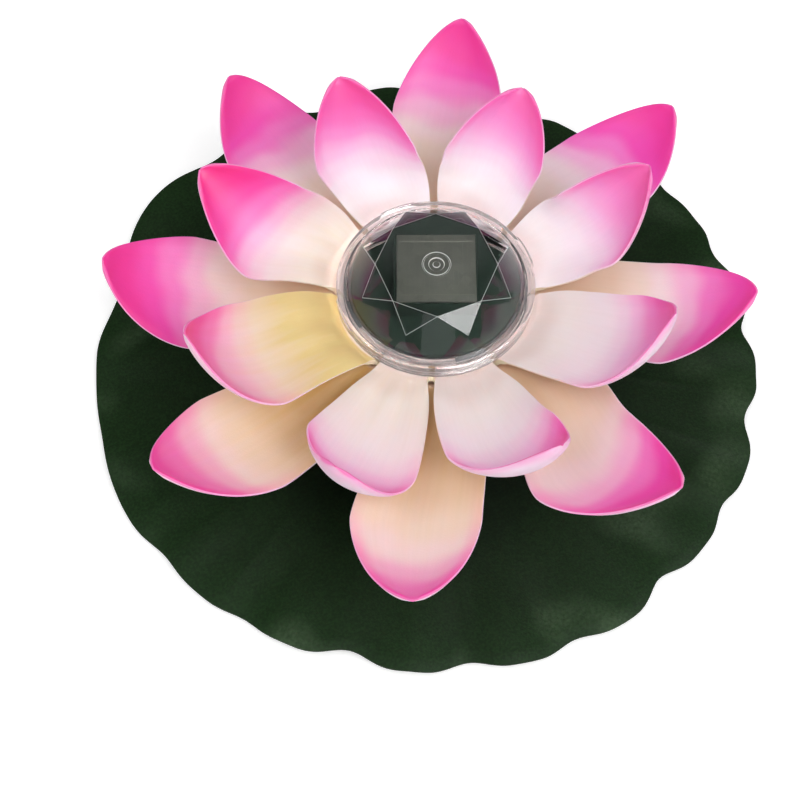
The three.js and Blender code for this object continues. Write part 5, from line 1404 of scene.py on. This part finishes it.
# %% Silicon
CELL_TURN = math.radians(-22.5)
cell_glass, tree = new_material("polycrystalline silicon")
spots = add_node(tree, "ShaderNodeTexCoord").outputs["Object"]
crystals = add_node(tree, "ShaderNodeTexVoronoi", {
    "Vector": spots, "Scale": 350.0}).outputs["Color"]
level = add_node(tree, "ShaderNodeSeparateColor", {0: crystals}).outputs["Red"]
silicon = add_node(tree, "ShaderNodeMix", {
    0: level, 6: linear("#33342f"), 7: linear("#3d3e38")}, data_type="RGBA").outputs[2]
finish_material(tree, level, 0.002, Base_Color=silicon, Roughness=0.32)
finer("solar_cell", cell_glass, "lamp", 0.1)

# %% [markdown]
# ## Printed lines of the solar cell
#
# Fine silver lines are screen printed on a cell, to gather its current, and two wider bars join
# them. They could be a texture, but as thin strips they are there in the exported mesh too. Both
# are one strip repeated at an even spacing, so one small Geometry Nodes tree makes them.

# %% Line tree
line_tree, given = new_tree("printed lines", {
    "Count": "NodeSocketInt", "Spacing": "NodeSocketFloat", "Strip": "NodeSocketVector",
    "Centre": "NodeSocketVector", "Turn": "NodeSocketVector", "Material": "NodeSocketMaterial"})
gaps = add_node(line_tree, "ShaderNodeMath", {0: given["Count"], 1: 1.0},
                operation="SUBTRACT").outputs[0]
width = add_node(line_tree, "ShaderNodeMath", {0: gaps, 1: given["Spacing"]},
                 operation="MULTIPLY").outputs[0]
edge = add_node(line_tree, "ShaderNodeMath", {0: width, 1: -0.5}, operation="MULTIPLY").outputs[0]
first = add_node(line_tree, "ShaderNodeCombineXYZ", {"X": edge}).outputs[0]
step = add_node(line_tree, "ShaderNodeCombineXYZ", {"X": given["Spacing"]}).outputs[0]
spots = add_node(line_tree, "GeometryNodeMeshLine", {
    "Count": given["Count"], "Start Location": first, "Offset": step}).outputs[0]
strip = add_node(line_tree, "GeometryNodeMeshCube", {"Size": given["Strip"]}).outputs[0]
strips = add_node(line_tree, "GeometryNodeInstanceOnPoints", {
    "Points": spots, "Instance": strip}).outputs[0]
real = add_node(line_tree, "GeometryNodeRealizeInstances", {0: strips}).outputs[0]
placed = add_node(line_tree, "GeometryNodeTransform", {
    "Geometry": real, "Translation": given["Centre"], "Rotation": given["Turn"]}).outputs[0]
painted = add_node(line_tree, "GeometryNodeSetMaterial", {
    "Geometry": placed, "Material": given["Material"]}).outputs[0]
add_node(line_tree, "NodeGroupOutput", {"Geometry": painted})
print("line tree:", len(line_tree.nodes), "nodes")

# %% Fingers and bars
# Fired silver paste is pale grey and rough from its grains. It is drawn much darker, because the
# resin over the cell dulls it until it hardly stands out.
silver_paste, tree = new_material("fired silver paste")
spots = add_node(tree, "ShaderNodeTexCoord").outputs["Object"]
grains = add_node(tree, "ShaderNodeTexNoise", {
    "Vector": spots, "Scale": 1 / (0.05 * MM), "Detail": 1.0}).outputs["Fac"]
finish_material(tree, grains, 0.004, Base_Color=linear("#46473f"), Roughness=0.6)

low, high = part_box("solar_cell")
CELL_SIDE = (high.x - low.x) / (math.cos(CELL_TURN) - math.sin(CELL_TURN))
CELL_MARGIN = 0.8 * MM
PASTE = 0.03 * MM
for name, count, spacing, width, turn in (
        ("cell_fingers", 14, 1.85 * MM, 0.08 * MM, CELL_TURN),
        ("cell_bars", 2, 24 * MM, 0.5 * MM, CELL_TURN + math.pi / 2)):
    mesh = run_tree(line_tree, {
        "Count": count, "Spacing": spacing,
        "Strip": (width, CELL_SIDE - 2 * CELL_MARGIN, PASTE),
        "Centre": ((low.x + high.x) / 2, (low.y + high.y) / 2, high.z),
        "Turn": (0.0, 0.0, turn), "Material": silver_paste})
    lines = bpy.data.objects.new(name, mesh)
    scene.collection.objects.link(lines)
    dress(lines, "lamp", ())
print("cell side in mm:", round(CELL_SIDE / MM, 2))

# %% [markdown]
# ## View transform
#
# The Standard view transform shows the colours as they are written.

scene.view_settings.view_transform = "Standard"
